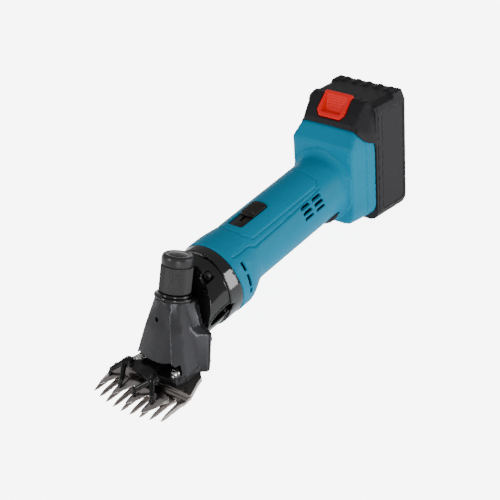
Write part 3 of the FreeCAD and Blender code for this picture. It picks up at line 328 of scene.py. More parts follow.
FINISH = {
    "blue_plastic": surface("teal_nylon", (0.0, 0.23, 0.385), 0.44, grain=0.1, tint=0.06, spread=0.0,
                            shine=0.1),
    "black_plastic": surface("black_nylon", (0.0095, 0.0088, 0.0115), 0.46, grain=0.25, tint=0.3, shine=0.2),
    "gloss_black": surface("gloss_black_coat", (0.004, 0.004, 0.005), 0.13, grain=0.02, rough_change=0.04,
                           shine=0.6, grain_scale=700.0),
    "red_plastic": surface("red_button_plastic", (0.86, 0.012, 0.008), 0.34, grain=0.06, tint=0.08,
                           shine=0.25),
    "gunmetal": surface("gunmetal_coat", (0.05, 0.05, 0.055), 0.3, metallic=0.7, grain=0.04, tint=0.12,
                        shine=0.4, grain_scale=1800.0),
    "knob_steel": surface("black_oxide", (0.045, 0.045, 0.047), 0.42, metallic=0.4, grain=0.2, shine=0.35),
    "ground_steel": surface("ground_steel", (0.44, 0.4, 0.38), 0.22, metallic=1.0, grain=0.25, tint=0.16,
                            grain_scale=900.0, stretch=(1.0, 0.08, 1.0), tint_scale=120.0),
    "bright_steel": surface("bright_steel", (0.62, 0.61, 0.6), 0.22, metallic=1.0, grain=0.1, tint=0.08),
    "fork_black": surface("forged_black", (0.005, 0.005, 0.006), 0.18, grain=0.1, grain_scale=500.0,
                          shine=0.3),
    "copper": surface("wound_copper", (0.6, 0.26, 0.12), 0.35, metallic=1.0, grain=0.5, tint=0.25,
                      stretch=(1.0, 0.2, 1.0)),
    "brass": surface("machined_brass", (0.72, 0.52, 0.22), 0.28, metallic=1.0, grain=0.1),
    "board_green": surface("circuit_board", (0.02, 0.19, 0.07), 0.35, grain=0.1, tint=0.3,
                           tint_scale=300.0),
    "cell_blue": surface("cell_sleeve", (0.08, 0.27, 0.52), 0.3, grain=0.05, tint=0.06),
    "carbon": surface("carbon", (0.035, 0.035, 0.036), 0.6, grain=0.3, tint=0.3),
    "switch_black": surface("switch_plastic", (0.013, 0.0085, 0.0085), 0.32, grain=0.12, tint=0.2,
                            shine=0.25),
    "cutter_steel": surface("cutter_steel", (0.4, 0.37, 0.36), 0.24, metallic=1.0, grain=0.25, tint=0.2,
                            grain_scale=900.0, stretch=(1.0, 0.08, 1.0), tint_scale=150.0),
    "knob_cap": surface("oxide_cap", (0.035, 0.035, 0.037), 0.34, metallic=0.4, grain=0.15, shine=0.35),
}


# ---- housing -----------------------------------------------------------------------------------
# An outline that is measured from the middle plane starts and ends on the far side of that plane.
BARREL_R = 28.4
ARC_PER_DEGREE = 0.4957   # millimetres along the barrel's skin
MOUTH_R, MOUTH_Z = 34.0, -4.5
BARREL_END = 176.0
BLOCK_SIDE = [(-14, -49.0), (24.5, -49.0), (29.6, -47.6), (33.0, -44.0), (34.5, -39.0), (34.5, 22.4),
              (33.6, 26.7), (31.8, 30.8), (29.6, 33.8), (27.5, 35.2), (12.0, 35.7), (-14, 35.8)]
BLOCK_ROUND = 2.0
SLOPE_N = (-0.758, 0.652)  # the block's slanting front face: its direction and a point on it
SLOPE_AT = (-31.8, 23.7)
# Lines on the skin: the saddle as (arc length from the top, y), the lower line as (y, degrees).
SADDLE = [(-9.0, 31.6), (0.0, 31.6), (12.0, 32.8), (19.0, 37.2), (19.0, 121.0), (16.0, 124.0), (-9.0, 124.0)]
SADDLE_ROUND = 3.2
LOWER_DEGREES = [(6.0, 42.0), (22.0, 45.0), (27.5, 48.3), (33.0, 57.0), (70.0, 55.4), (104.0, 52.4),
                 (119.0, 51.0), (123.5, 49.0)]
LOWER_LINE = [(y, degrees * ARC_PER_DEGREE) for y, degrees in LOWER_DEGREES]
BAND = LOWER_LINE + [(123.0, 22.6), (38.0, 22.6), (31.0, 19.5), (8.0, 19.0)]
LINE_WIDTH, LINE_DEPTH = 0.75, 0.75
SUNK = 0.35                # how far the band and the block's flank are sunk
SLIT_Y = (8.6, 11.4)
SLIT_Z = ((7.6, 15.0), (-7.2, 4.4), (-14.0, -9.2))
VENT_Y = (94.0, 109.5)
VENT_Z = (14.3, 9.6, 4.9)
VENT_LENGTH, VENT_HALF = 11.6, 1.05
HOLE_ROUND = 0.5
DIAL_ANGLE = math.radians(50)
DIAL_CENTRE = 17.3
DIAL_Y = 137.0
DIAL_R, DIAL_HALF = 14.5, 3.25


def ring_shape(y):
    """Radius and centre height of the barrel at y."""
    t = np.clip((y - 12.0) / 24.0, 0, 1)
    ease = t * t * (3 - 2 * t)
    return MOUTH_R - (MOUTH_R - BARREL_R) * ease, MOUTH_Z * (1 - ease)


def in_dial(x, y, z):
    """Position in the speed dial's axes, its own axis upright."""
    c, s = math.cos(DIAL_ANGLE), math.sin(DIAL_ANGLE)
    return c * x - s * z - DIAL_CENTRE, y - DIAL_Y, s * x + c * z


def block_outline(bx, by, bz):
    """The block seen along the battery's axes. It narrows to the front."""
    half = 33.5 + 3.0 * np.clip((by + 30.8) / 30.8, -0.2, 1)
    return poly(np.abs(bx) * 36.5 / half, bz, BLOCK_SIDE) - BLOCK_ROUND


def block_solid(bx, by, bz):
    """The block with its front and slanting faces."""
    slope = SLOPE_N[0] * (by - SLOPE_AT[0]) + SLOPE_N[1] * (bz - SLOPE_AT[1])
    face = rmax(-(by + 31.4), slope, 1.6)
    return rmax(block_outline(bx, by, bz), face, 2.8)


def housing_core(x, y, z):
    """Barrel and block as one smooth solid."""
    radius, centre = ring_shape(y)
    rho = np.hypot(x, z - centre)
    tube = rmax(rho - radius, y - BARREL_END, 1.0)
    bx, by, bz = in_battery(x, y, z)
    outline = block_outline(bx, by, bz)
    block = block_solid(bx, by, bz)
    disc = rmax(rmax(rho - 34.4, -(by + 32.4), 1.2), outline + 1.0, 0.8)
    disc = np.maximum(disc, by + 26.0)
    return rmin(tube, np.minimum(block, disc), 7.0)


def lined(core, x, y, z):
    """The core's skin with its panel lines, sunk band, middle seam and the block's flanks."""
    centre = ring_shape(y)[1]
    arc = np.degrees(np.arctan2(np.abs(x), z - centre)) * ARC_PER_DEGREE
    skin = core + groove(poly(arc, y, SADDLE) - SADDLE_ROUND, LINE_WIDTH, LINE_DEPTH)
    skin = skin + groove(path_distance(y, arc, LOWER_LINE), LINE_WIDTH, LINE_DEPTH)
    skin = skin + SUNK * (1 - step_up(poly(y, arc, BAND), 0.8))
    skin = skin + groove(x, 0.35, 0.22)
    bx, by = in_battery(x, y, z)[:2]
    from_edge = by + 12.0
    flank = groove(from_edge, 0.7, 0.45) + SUNK * (1 - step_up(from_edge, 0.5))
    return skin + np.where(np.abs(bx) > 30.0, flank, 0)


def vents(y, z):
    """Front slits and rear vents, seen from the side."""
    holes = [box2(y, z, (SLIT_Y[0], low), (SLIT_Y[1], high), HOLE_ROUND) for low, high in SLIT_Z]
    for start in VENT_Y:
        for level in VENT_Z:
            low = (start, level - VENT_HALF)
            high = (start + VENT_LENGTH, level + VENT_HALF)
            holes.append(box2(y, z, low, high, HOLE_ROUND))
    return unite(*holes)


def housing(x, y, z):
    """Both half shells: the lined core, hollowed, with its openings."""
    core = housing_core(x, y, z)
    bx, by, bz = in_battery(x, y, z)
    shell = rmax(lined(core, x, y, z), -y, 0.8)
    shell = rmax(shell, by + 0.3, 0.5)
    shell = rsub(shell, core + WALL, 0.4)
    side = np.abs(x)
    upper_opening = box3(bx, by, bz, (-26, -11.2, 15), (26, 3, 60), 0.5)
    shell = rsub(shell, upper_opening, 0.4)
    lower_opening = box3(bx, by, bz, (-19.9, -7.4, -60), (19.9, 5, -45), 0.5)
    shell = rsub(shell, lower_opening, 0.4)
    shell = rsub(shell, np.maximum(vents(y, z), 16 - side), 0.35)
    switch_opening = np.maximum(box2(side, y, (-9, 36.0), (8.0, 72.0), 2.6), 15 - z)
    shell = rsub(shell, switch_opening, 0.5)
    lx, ly, lz = in_dial(x, y, z)
    dial_slot = rmax(np.hypot(lx, ly) - DIAL_R - 0.5, np.abs(lz) - DIAL_HALF - 0.4, 0.3)
    return rsub(shell, dial_slot, 0.5)


moulded("housing_shell", housing, (-38.5, -1.5, -53.5), (38.5, 188.5, 50.5), 0.6, "housing",
        ["housing_left", "housing_right"], "blue_plastic", flat=0.35)


# ---- battery -----------------------------------------------------------------------------------
PACK_LOW = -56.86
PACK_SIDE = [(27.7, PACK_LOW + 3), (32.0, PACK_LOW + 4.4), (34.7, PACK_LOW + 9), (34.7, 48.0),
             (33.2, 51.6), (29.0, 53.5)]
HOOD_SIDE = [(4.0, 17.0), (4.0, 55.0), (1.0, 58.6), (-2.2, 59.4), (-4.4, 58.0), (-14.0, 46.8),
             (-18.9, 40.2), (-19.4, 37.0), (-8.0, 17.0)]
HOOD_TALL = [(-12, 10), (34.6, 10), (34.6, 48.4), (31.4, 54.0), (27.0, 57.6), (-12, 59.2)]
TOP_PANEL = [(-26, 1.0), (26, 1.0), (22, -4.6), (-22, -4.6)]
CHEEK_N = (0.877, -0.412, 0.246)  # the hood's slanting cheeks: direction and distance
CHEEK_D = 42.4
# How far forward the hood reaches at each height.
SEAM_Z = (21.5, 24.0, 27.3, 33.7, 37.6, 38.4)
SEAM_Y = (-1.7, -8.5, -14.1, -19.0, -20.4, -34.0)
TERMINAL_X = (-12, 0, 12)
BUTTON_AT = (-14.0, 48.5)  # (y, z)
BUTTON_SIDE = [(10.9, -6.0), (14.6, -1.6), (14.8, 1.0), (14.4, 17.2), (13.6, 17.8)]
BUTTON_GAP = 0.65
BUTTON_BACK = 4.4
SCOOP = [(-4.0, -2.6), (-1.4, -2.2), (3.6, 1.2), (3.0, 4.0), (-0.9, 14.6), (-4.0, 15.0)]


def pack_outline(bx, bz):
    """The battery pack seen along its rails."""
    return poly(bx, bz, mirror(PACK_SIDE)) - 3.0


def button_local(bx, by, bz):
    """Position in the release button's axes: across, into the battery, and up the slope."""
    c = math.sqrt(0.5)
    v, w = by - BUTTON_AT[0], bz - BUTTON_AT[1]
    return bx, c * v - c * w, c * v + c * w


def button_outline(ux, uz):
    """The release button seen from where it's pressed."""
    return poly(ux, uz, mirror(BUTTON_SIDE)) - 0.6


def battery_cover(x, y, z):
    """Front plate, hood over the block, and the tongue that the rails hold."""
    bx, by, bz = in_battery(x, y, z)
    side = np.abs(bx)
    plate = rmax(pack_outline(bx, bz), np.abs(by - 1.5) - 1.5, 0.5)
    cheek = CHEEK_N[0] * side + CHEEK_N[1] * by + CHEEK_N[2] * bz - CHEEK_D
    body = rmax(poly(by, bz, HOOD_SIDE) - 2.0, cheek, 2.0)
    body = rmax(body, poly(side, bz, HOOD_TALL) - 2.5, 2.4)
    block = block_solid(bx, by, bz)
    body = rmin(body, rmax(block - 0.8, 20.0 - bz, 0.3), 2.5)
    seam = read_off(bz, SEAM_Z, SEAM_Y)
    body = rmax(body, (seam - by) * 0.7, 0.5)
    body = rmax(body, by - 3.0, 0.4)
    body = rsub(body, block - 0.12, 0.15)
    whole = rmin(plate, body, 0.6)
    tongue = box3(bx, by, bz, (-24, -10.5, -44), (24, 0.5, 33.5), 0.6)
    grooves = box3(side, by, bz, (20.8, -6.6, -46), (26, -3.0, 25), 0.3)
    tongue = rsub(tongue, grooves, 0.3)
    foot = box3(bx, by, bz, (-19.5, -7.0, PACK_LOW + 0.4), (19.5, 0.5, PACK_LOW + 4.2), 0.6)
    slots = unite(*[box3(bx, by, bz, (a - 1.2, -12, PACK_LOW - 2), (a + 1.2, -2.5, -22), 0.2)
                    for a in TERMINAL_X])
    whole = unite(whole, tongue, foot)
    whole = rsub(whole, slots, 0.2)
    panel = poly(bx, by, TOP_PANEL)
    whole = whole + np.where(bz > 50, groove(panel, 0.9, 0.8) + 0.5 * (1 - step_up(panel, 0.5)), 0)
    ux, uy, uz = button_local(bx, by, bz)
    pocket = np.maximum(button_outline(ux, uz) - BUTTON_GAP, np.abs(uy - 1.4) - 8.2)
    return rsub(whole, pocket, 0.4)


def battery_case(x, y, z):
    """The case behind the cover, with a wavy back, side panels and bumps along the top."""
    bx, by, bz = in_battery(x, y, z)
    side = np.abs(bx)
    outline = pack_outline(bx, bz)
    wave = 0.8 * np.cos((bz + 42.5) / 20.2 * 2 * math.pi)
    rear = by - (46.45 + wave * (1 - step_up(side - 31.0, 4.0)))
    body = rmax(outline, rear, 3.4)
    body = rmax(body, 3.0 - by, 0.5)
    panel = box2(by, bz, (8.5, -47.0), (41.0, 47.0), 4.0)
    body = body + np.where(side > 30, groove(panel, 0.5, 0.45) + 0.35 * (1 - step_up(panel, 0.6)), 0)
    ridge = box2(by, bz, (4.0, -50.0), (45.0, -48.6), 0.4)
    body = body + np.where(side > 30, groove(ridge, 0.6, 0.3), 0)
    hollow = rmax(outline + 2.4, by - 43.6, 1.0)
    body = rsub(body, hollow, 0.4)
    for k in range(5):
        a = 12.2 * k - 24.4
        bump = box3(bx, by, bz, (a - 3.5, 33.0, 50.0), (a + 3.5, 45.0, 58.1), 2.6)
        body = rmin(body, bump, 0.4)
    ends = unite(*[box3(bx, by, bz, (a - 3.4, 30.0, 48.0), (a + 3.4, 44.8, 57.8), 1.8)
                   for a in (-31.5, 31.5)])
    return rmin(body, ends, 1.6)


def release_button(x, y, z):
    """Button with a hollow for the thumb, and ribs in the hollow."""
    ux, uy, uz = button_local(*in_battery(x, y, z))
    body = rmax(button_outline(ux, uz), -(uy + 1.6), 0.9)
    body = rmax(body, uy - BUTTON_BACK, 0.4)
    limit = (uz - 6.0) * 0.275 + (uy - 4.7) * 0.96
    body = rmax(body, limit, 0.3)
    scoop = poly(uy, uz, SCOOP)
    width = 10.6 + 0.09 * uz - 0.45 * np.maximum(uy + 1.0, 0)
    scoop = rmax(scoop, np.abs(ux) - width, 0.5)
    body = rsub(body, scoop, 0.35)
    rib = 0.34 * np.maximum(np.cos((uz - 2.0) / 2.3 * 2 * math.pi), 0)
    inside = (1 - step_up(np.abs(ux) - width + 1.6, 0.5)) * (1 - step_up(np.abs(uz - 8.6) - 4.8, 0.4))
    return body - rib * inside * (1 - step_up(np.abs(uy - 1.5) - 3.2, 0.4))


moulded("battery_cover_hood", battery_cover, (-38.5, 150.0, -60.0), (38.5, 203.0, 77.0), 0.6, "battery",
        ["battery_cover"], "black_plastic", flat=0.3)
moulded("battery_case_shell", battery_case, (-38.5, 176.0, -62.0), (38.5, 247.0, 70.0), 0.75, "battery",
        ["battery_case"], "black_plastic", flat=0.3)
moulded("release_button_red", release_button, (-16.5, 164.0, 50.0), (16.5, 198.0, 80.0), 0.28,
        "release_button", ["release_button"], "red_plastic", flat=0.1)


# ---- gear case ---------------------------------------------------------------------------------
# The neck's round section at each y: its radius and the height of its centre.
CASE_Y = (-60.0, -52.0, -31.0, -20.0, -9.0, 4.0)
CASE_R = (22.2, 23.5, 27.0, 29.6, 31.6, 33.2)
CASE_Z = (-17.9, -16.0, -11.0, -7.4, -5.0, MOUTH_Z)
HEAD_BACK = 16.8
FACET = (math.cos(math.radians(26)), math.sin(math.radians(26)))
NECK_SCREW = (16.2, 16.2)       # (x, z) of the upper screw pocket on each side
NECK_POCKET_R = 4.4
NECK_TOWER_R = 6.0
SLANT_AT = (-23.8, -14.8)       # (y, z) of the slanted pocket on each side
SLANT_TURN = (0.94, 0.342)      # cosine and sine of its slant
SLANT_HALVES = (12.6, 3.5)


def fork_passage(x, y, z, front):
    """Room for the fork's tail, from that y back."""
    return box3(x, y, z, (-11.5, front, -42.6), (11.5, -30.5, -8.5), 1.0)


def with_screw_pockets(whole, neck, x, y, z, behind_head):
    """Add the upper screw towers, and cut their pockets."""
    rho = np.hypot(np.abs(x) - NECK_SCREW[0], z - NECK_SCREW[1])
    tower = np.maximum(rho - NECK_TOWER_R, np.maximum(-(y + 26.0), y + 9.0))
    tower = np.maximum(tower, neck + 0.3)
    whole = np.minimum(whole, np.maximum(tower, behind_head))
    return rsub(whole, np.maximum(rho - NECK_POCKET_R, y + 16.0), 0.9)


def with_slanted_pockets(whole, neck, x, y, z, behind_head):
    """Add the backing and the brim of the slanted oval pockets, and cut them."""
    side = np.abs(x)
    v, w = y - SLANT_AT[0], z - SLANT_AT[1]
    along = v * SLANT_TURN[0] + w * SLANT_TURN[1]
    across = w * SLANT_TURN[0] - v * SLANT_TURN[1]
    oval = (np.hypot(along / SLANT_HALVES[0], across / SLANT_HALVES[1]) - 1) * SLANT_HALVES[1]
    backing = np.maximum(np.maximum(oval - 1.8, np.abs(side - 20.0) - 2.0), neck + 0.3)
    whole = rmin(whole, backing, 0.4)
    brim = np.maximum(np.maximum(np.abs(oval - 0.5) - 0.9, neck - 0.6), 20.0 - side)
    whole = rmin(whole, np.maximum(brim, behind_head), 0.7)
    return rsub(whole, np.maximum(oval, 22.0 - side), 0.9)


def gear_case(x, y, z):
    """The neck between head and barrel, hollow, with its screw pockets and rear band."""
    radius = read_off(y, CASE_Y, CASE_R)
    centre = read_off(y, CASE_Y, CASE_Z)
    neck = np.hypot(x, z - centre) - radius
    band = np.hypot(x, z - MOUTH_Z) - 33.3
    edge = -(y + 9.0) - 0.17 * (29.0 - z)
    band = rmax(band, edge * 0.98, 0.8)
    whole = rmin(neck, band, 0.5)
    facet = np.abs(x) * FACET[0] + (z - MOUTH_Z) * FACET[1] - 32.4
    whole = rmax(whole, np.where(y < -0.5, facet, facet - 0.3), 0.4)
    whole = rmax(whole, y, 0.6)
    behind_head = HEAD_BACK - in_head(x, y, z)[1]
    whole = rmax(whole, behind_head, 0.4)
    inner = rmax(neck + 3.0, behind_head + 3.0, 0.5)
    mouth = np.maximum(np.hypot(x, z - MOUTH_Z) - 28.5, -(y + 9.5))
    whole = rsub(whole, rmin(inner, mouth, 0.8), 0.4)
    whole = with_screw_pockets(whole, neck, x, y, z, behind_head)
    whole = with_slanted_pockets(whole, neck, x, y, z, behind_head)
    return rsub(whole, fork_passage(x, y, z, -70), 0.4)


# ---- head --------------------------------------------------------------------------------------
# The head's section at each height on the tension axis: how far forward the middle of its front stands,
# and the corners of its side from front to back, as (across, forward).
HEAD_H = (-66.0, -25.0, -19.0, 0.0)
HEAD_FRONT = (18.9, 17.5, 17.2, 16.3)
HEAD_SIDES = (((23.2, 16.6), (28.2, 4.6), (30.5, -9.8), (32.5, -11.0), (35.4, -13.0), (32.5, -16.8)),
              ((14.4, 16.2), (18.9, 7.9), (20.5, 0.0), (23.8, -2.6), (32.0, -12.0), (29.6, -16.8)),
              ((12.9, 15.8), (17.3, 8.3), (19.0, 1.5), (21.0, -1.2), (23.0, -10.0), (19.0, -16.8)),
              ((9.2, 13.6), (12.8, 9.6), (14.6, 6.0), (15.9, 2.5), (15.4, -9.0), (11.0, -16.8)))
HEAD_FLOOR = -48.8
HEAD_BASE = [(-5, -84.5), (19.8, -84.5), (26.6, -77.2), (28.0, -62.4), (31, -50), (-5, -50)]
ARCH_LOW = HEAD_FLOOR + 4.6
ARCH = [(-5, ARCH_LOW), (25.3, ARCH_LOW), (20.0, -32.4), (18.4, -30.0), (15.6, -30.6), (10.0, -31.8),
        (-5, -32.2)]
ARCH_LIP = [(-5, HEAD_FLOOR - 3), (32, HEAD_FLOOR - 3), (29.5, ARCH_LOW), (-5, ARCH_LOW)]
COMB_SCREW = (19.5, -79.0)                 # (x, y) of the comb screw on each side
COMB_BOLT_R = 2.52
SCREW_SEAT = HEAD_FLOOR + 6.7
REAR_SCREWS = ((27.6, -30.5), (28.6, -49.0))  # across and along the tension axis, on each side


def from_comb_screw(side, y):
    """Distance from the comb screw's axis."""
    return np.hypot(side - COMB_SCREW[0], y - COMB_SCREW[1])


def head_section(side, forward, height, inset, rear):
    """Distance to the head's cross-section at that height along the tension axis."""
    front = read_off(height, HEAD_H, HEAD_FRONT)
    corner = []
    for k in range(6):
        cx = read_off(height, HEAD_H, [side_points[k][0] for side_points in HEAD_SIDES])
        cf = read_off(height, HEAD_H, [side_points[k][1] for side_points in HEAD_SIDES])
        corner.append((cx - inset, cf - inset if k < 4 else cf + rear))
    crease_x, crease_f = corner[0]
    arc = [(crease_x * t, front - inset - (front - inset - crease_f) * t * t) for t in (0.33, 0.66)]
    points = [(-4.0, front - inset), (0.0, front - inset)] + arc + corner + [(-4.0, corner[5][1])]
    return poly(side, forward, points)


def head_shell(side, y, z, forward, height):
    """The outside of the head, with the flat base over the comb."""
    outer = head_section(side, forward, height, 0.7, 0.7) - 0.7
    outer = rmax(outer, height, 0.6)
    rim = rmax(head_section(side, forward, height, -0.5, -0.5), np.abs(forward + 14.6) - 1.8, 0.5)
    outer = np.minimum(outer, np.maximum(rim, height + 4.0))
    base = rmax(poly(side, y, HEAD_BASE), np.abs(z - HEAD_FLOOR - 2.2) - 2.2, 0.5)
    base = np.maximum(base, -forward - HEAD_BACK + 0.1)
    return rmax(rmin(outer, base, 0.6), HEAD_FLOOR - z, 0.4)


def without_bores(whole, x, y, z, hx, hy, hz):
    """Cut the oil hole, the tension bore, the fork's passage and the holes for post, bolts and screws."""
    side = np.abs(hx)
    oil = np.hypot(hx + 1.2, (hz + 16.6) * 0.8) - 1.8
    whole = rsub(whole, np.maximum(oil, 11.5 + hy), 0.4)
    whole = rsub(whole, np.maximum(np.hypot(hx, hy) - 5.05, np.abs(hz) - 22.0), 0.2)
    whole = rsub(whole, np.maximum(fork_passage(x, y, z, -60), 10 - hy), 0.3)
    post = np.maximum(np.hypot(x, y + 60.0) - 3.22, z + 40.0)
    bolts = np.maximum(from_comb_screw(side, y) - COMB_BOLT_R, z + 35.0)
    whole = np.maximum(whole, -np.minimum(post, bolts))
    for screw_x, screw_h in REAR_SCREWS:
        rho = np.hypot(side - screw_x, hz - screw_h)
        whole = np.maximum(whole, -np.maximum(rho - 2.02, -(hy - HEAD_BACK + 4.5)))
    return whole


def head_body(x, y, z):
    """Hollow head with an arched front, a boss for the collar and pads for the comb screws."""
    hx, hy, hz = in_head(x, y, z)
    side, forward = np.abs(hx), -hy
    whole = head_shell(side, y, z, forward, hz)
    inner = head_section(side, forward, hz, 3.2, 3.0)
    inner = np.maximum(np.maximum(inner, hz + 5.0), ARCH_LOW - z)
    arch = np.maximum(poly(side, z, ARCH), y + 60)
    lip = np.maximum(poly(side, z, ARCH_LIP), y + 84.5)
    whole = rsub(whole, inner, 0.4)
    whole = rsub(whole, unite(arch, lip), 0.4)
    boss = np.maximum(np.hypot(hx, hy) - 9.0, np.abs(hz + 8.5) - 7.5)
    rho = from_comb_screw(side, y)
    pads = np.maximum(rho - 5.6, np.abs(z - SCREW_SEAT + 1.5) - 1.5)
    whole = rmin(whole, boss, 0.8)
    whole = rmin(whole, pads, 0.6)
    recess = np.maximum(rho - 5.4, np.abs(z - SCREW_SEAT - 4) - 4)
    whole = rsub(whole, recess, 0.5)
    return without_bores(whole, x, y, z, hx, hy, hz) * 0.85


def head_screws(x, y, z):
    """Low round heads with a round socket, and a short shank."""
    hx, hy, hz = in_head(x, y, z)
    side, back = np.abs(hx), hy - HEAD_BACK
    whole = FAR_AWAY
    for screw_x, screw_h in REAR_SCREWS:
        rho = np.hypot(side - screw_x, hz - screw_h)
        cap = rmax(rho - 3.1, np.abs(back - 0.6) - 0.5, 0.4)
        whole = np.minimum(whole, rmin(cap, np.maximum(rho - 1.9, np.abs(back + 2.0) - 2.2), 0.2))
        whole = rsub(whole, np.maximum(rho - 1.2, 0.3 - back), 0.1)
    return whole


moulded("head_rear_screws", head_screws, (-34.0, -76.0, -52.0), (34.0, -30.0, -8.0), 0.35, "housing",
        ["head_screws"], "bright_steel", "knob_steel", flat=0.15)
moulded("gear_case_neck", gear_case, (-34.5, -58.0, -42.0), (34.5, 0.5, 31.0), 0.55, "housing",
        ["gear_case"], "gloss_black", flat=0.2)
moulded("head_cover", head_body, (-36.5, -91.5, -50.0), (36.5, -28.0, 15.0), 0.5, "housing",
        ["head_body"], "gunmetal", flat=0.2, blur=0.08)


# ---- comb, cutter and fork ---------------------------------------------------------------------
COMB_LOW = -AXIS_HEIGHT
COMB_TOP = COMB_LOW + 3.0
TOOTH_PITCH = 9.55
TIP_Y, TIP_R = -128.0, 107.7
PIVOT_Y = -60.0
CUTTER_REACH = 60.0
SWING = math.asin(TOOTH_PITCH / CUTTER_REACH)
CUTTER_LOW = COMB_TOP + 0.08
CUTTER_HIGH = CUTTER_LOW + 3.2
COMB_HALF = 41.95
CUTTER_REST_HALF = 41.9  # the cutter at rest reaches this far to the right
HEEL = [(-5, -56), (24, -56), (30, -62), (34.6, -66), (35.6, -71)]
COMB_PLAN = HEEL + [(42.0, -88), (41.3, -94.2), (28.6, -98.6), (19.1, -100.4), (9.5, -101.5), (-5, -102.0)]
HEEL_PLAN = HEEL + [(41.2, -86.3), (39.4, -89.3), (-5, -89.3)]


def comb_tip(x):
    """The y that a tooth at x reaches: the tips stand on an arc."""
    return TIP_Y + TIP_R - np.sqrt(TIP_R ** 2 - np.clip(x, -60, 60) ** 2)


def comb(x, y, z):
    """Nine pointed teeth on a plate that is thicker at its heel."""
    side = np.abs(x)
    plan = poly(side, y, COMB_PLAN)
    tooth_x = TOOTH_PITCH * np.clip(np.round(x / TOOTH_PITCH), -4, 4)
    tip = comb_tip(tooth_x)
    along = y - tip
    half = read_off(along, (0.0, 0.6, 3.0, 8.0, 15.0, 22.0, 26.5, 40.0),
                    (0.15, 0.5, 1.15, 1.75, 2.25, 2.75, 4.4, 4.9))
    bevel = read_off(along, (0.0, 20.0, 30.0), (0.34, 0.30, 0.0))
    tooth = np.abs(x - tooth_x) - half + bevel * (z - COMB_LOW)
    tooth = np.maximum(tooth, -along)
    tooth = np.maximum(tooth, along - 30.0)
    flat = np.minimum(tooth, np.where(along > 26.0, plan, FAR_AWAY))
    rise = read_off(along, (0.0, 7.0, 40.0), (0.9, 3.0, 3.0))
    hollow = 0.5 * np.exp(-((y + 93.5) / 2.6) ** 2)
    top = z - (COMB_LOW + rise) + hollow * np.where(along > 20.0, 1.0, 0.4)
    belly = read_off(along, (0.0, 4.0), (0.7, 0.0))
    body = rmax(rmax(flat, top, 0.25), COMB_LOW + belly - z, 0.25)
    heel = rmax(poly(side, y, HEEL_PLAN), np.abs(z - COMB_LOW - 2.0) - 1.9, 0.3)
    heel = np.maximum(heel, (-(y + 88.9) + (z - COMB_TOP) * 1.4) * 0.55)
    body = np.minimum(body, heel)
    bolt = from_comb_screw(side, y) - COMB_BOLT_R
    return rsub(np.maximum(body, side - COMB_HALF), bolt, 0.2)


def in_fork(x, y):
    """Plan position in fork coordinates, the fulcrum at the origin and the fork unswung."""
    c, s = math.cos(SWING), math.sin(SWING)
    v = y - PIVOT_Y
    return c * x - s * v, s * x + c * v


# Where the cutter's teeth stand in fork coordinates.
TOOTH_X = [2 * TOOTH_PITCH * (i - 1.5) for i in range(4)]


def cutter_blade(x, y, z):
    """Four broad teeth with ridged tops on a cross plate."""
    fx, fy = in_fork(x, y)
    nearest = 2 * TOOTH_PITCH * (np.clip(np.round(fx / (2 * TOOTH_PITCH) - 0.5), -2, 1) + 0.5)
    tip = -np.sqrt(CUTTER_REACH ** 2 - (0.35 * nearest) ** 2)
    along = fy - tip
    half = read_off(along, (0.3, 1.0, 4.0, 8.0, 12.5, 17.0, 19.0, 26.0),
                    (0.7, 1.25, 2.7, 4.1, 5.6, 7.6, 9.0, 10.0))
    dx = np.abs(fx - nearest)
    tooth = np.maximum((dx - half) * 0.9, 0.3 - along)
    plate = box2(fx, fy, (-37.0, -42.5), (37.0, -33.5), 3.0)
    flat = rmin(np.maximum(tooth, along - 22.0), plate, 1.5)
    flat = np.maximum(flat, np.abs(fx) - (TOOTH_X[-1] + 5.4 + np.maximum(along - 12.0, 0) * 0.3))
    ridge = read_off(along, (0.0, 4.0, 14.0, 20.0), (0.9, 1.9, 3.2, 3.2))
    slope = read_off(along, (0.0, 12.0, 17.0, 21.0), (0.42, 0.42, 0.2, 0.0))
    top = (z - (CUTTER_LOW + ridge - slope * dx)) * 0.9
    return rmax(rmax(np.maximum(flat, -x - CUTTER_REST_HALF), top, 0.2), CUTTER_LOW - z, 0.1)


FORK_LOW = -43.4
FORK_HIGH = -37.2
CRANK_Z = -16.5
PRONG_REACH = 51.0
FORK_PLAN = [(-5, 0.5), (4.6, 0), (7.0, -8), (7.4, -23.6), (19.8, -29.6), (22.4, -33.6), (18.0, -36.4),
             (-5, -34.8)]
FORK_TAIL = [(-2.4, FORK_HIGH - 0.6), (-2.4, FORK_LOW + 2.0), (3.3, FORK_LOW + 2.0), (29.8, CRANK_Z - 6.9),
             (34.4, CRANK_Z - 6.9), (34.4, CRANK_Z + 5.9), (29.6, CRANK_Z + 5.9), (27.6, CRANK_Z + 2.0),
             (3.4, FORK_HIGH - 0.6)]


def fork_arms(side, fy, z):
    """On each side, two prongs that bend down from one root to their cutter teeth."""
    root = (19.1, -36.0, FORK_HIGH + 1.4)
    arms = capsule(side, fy, z, (17.5, -33.2, FORK_HIGH + 1.9), root, 2.3, 2.4)
    for tx in TOOTH_X[2:]:
        ty = -math.sqrt(PRONG_REACH ** 2 - (0.7 * tx) ** 2)
        elbow = (tx * 0.97, ty + 2.2, CUTTER_HIGH + 4.2)
        arm = rmin(capsule(side, fy, z, root, elbow, 2.4, 1.95),
                   capsule(side, fy, z, elbow, (tx, ty, CUTTER_HIGH + 1.6), 1.95, 1.35), 0.5)
        collar = rmax(np.hypot(side - tx, fy - ty) - 2.0, np.abs(z - CUTTER_HIGH - 0.75) - 0.75, 0.4)
        arms = rmin(arms, rmin(arm, collar, 0.4), 1.0)
    return arms


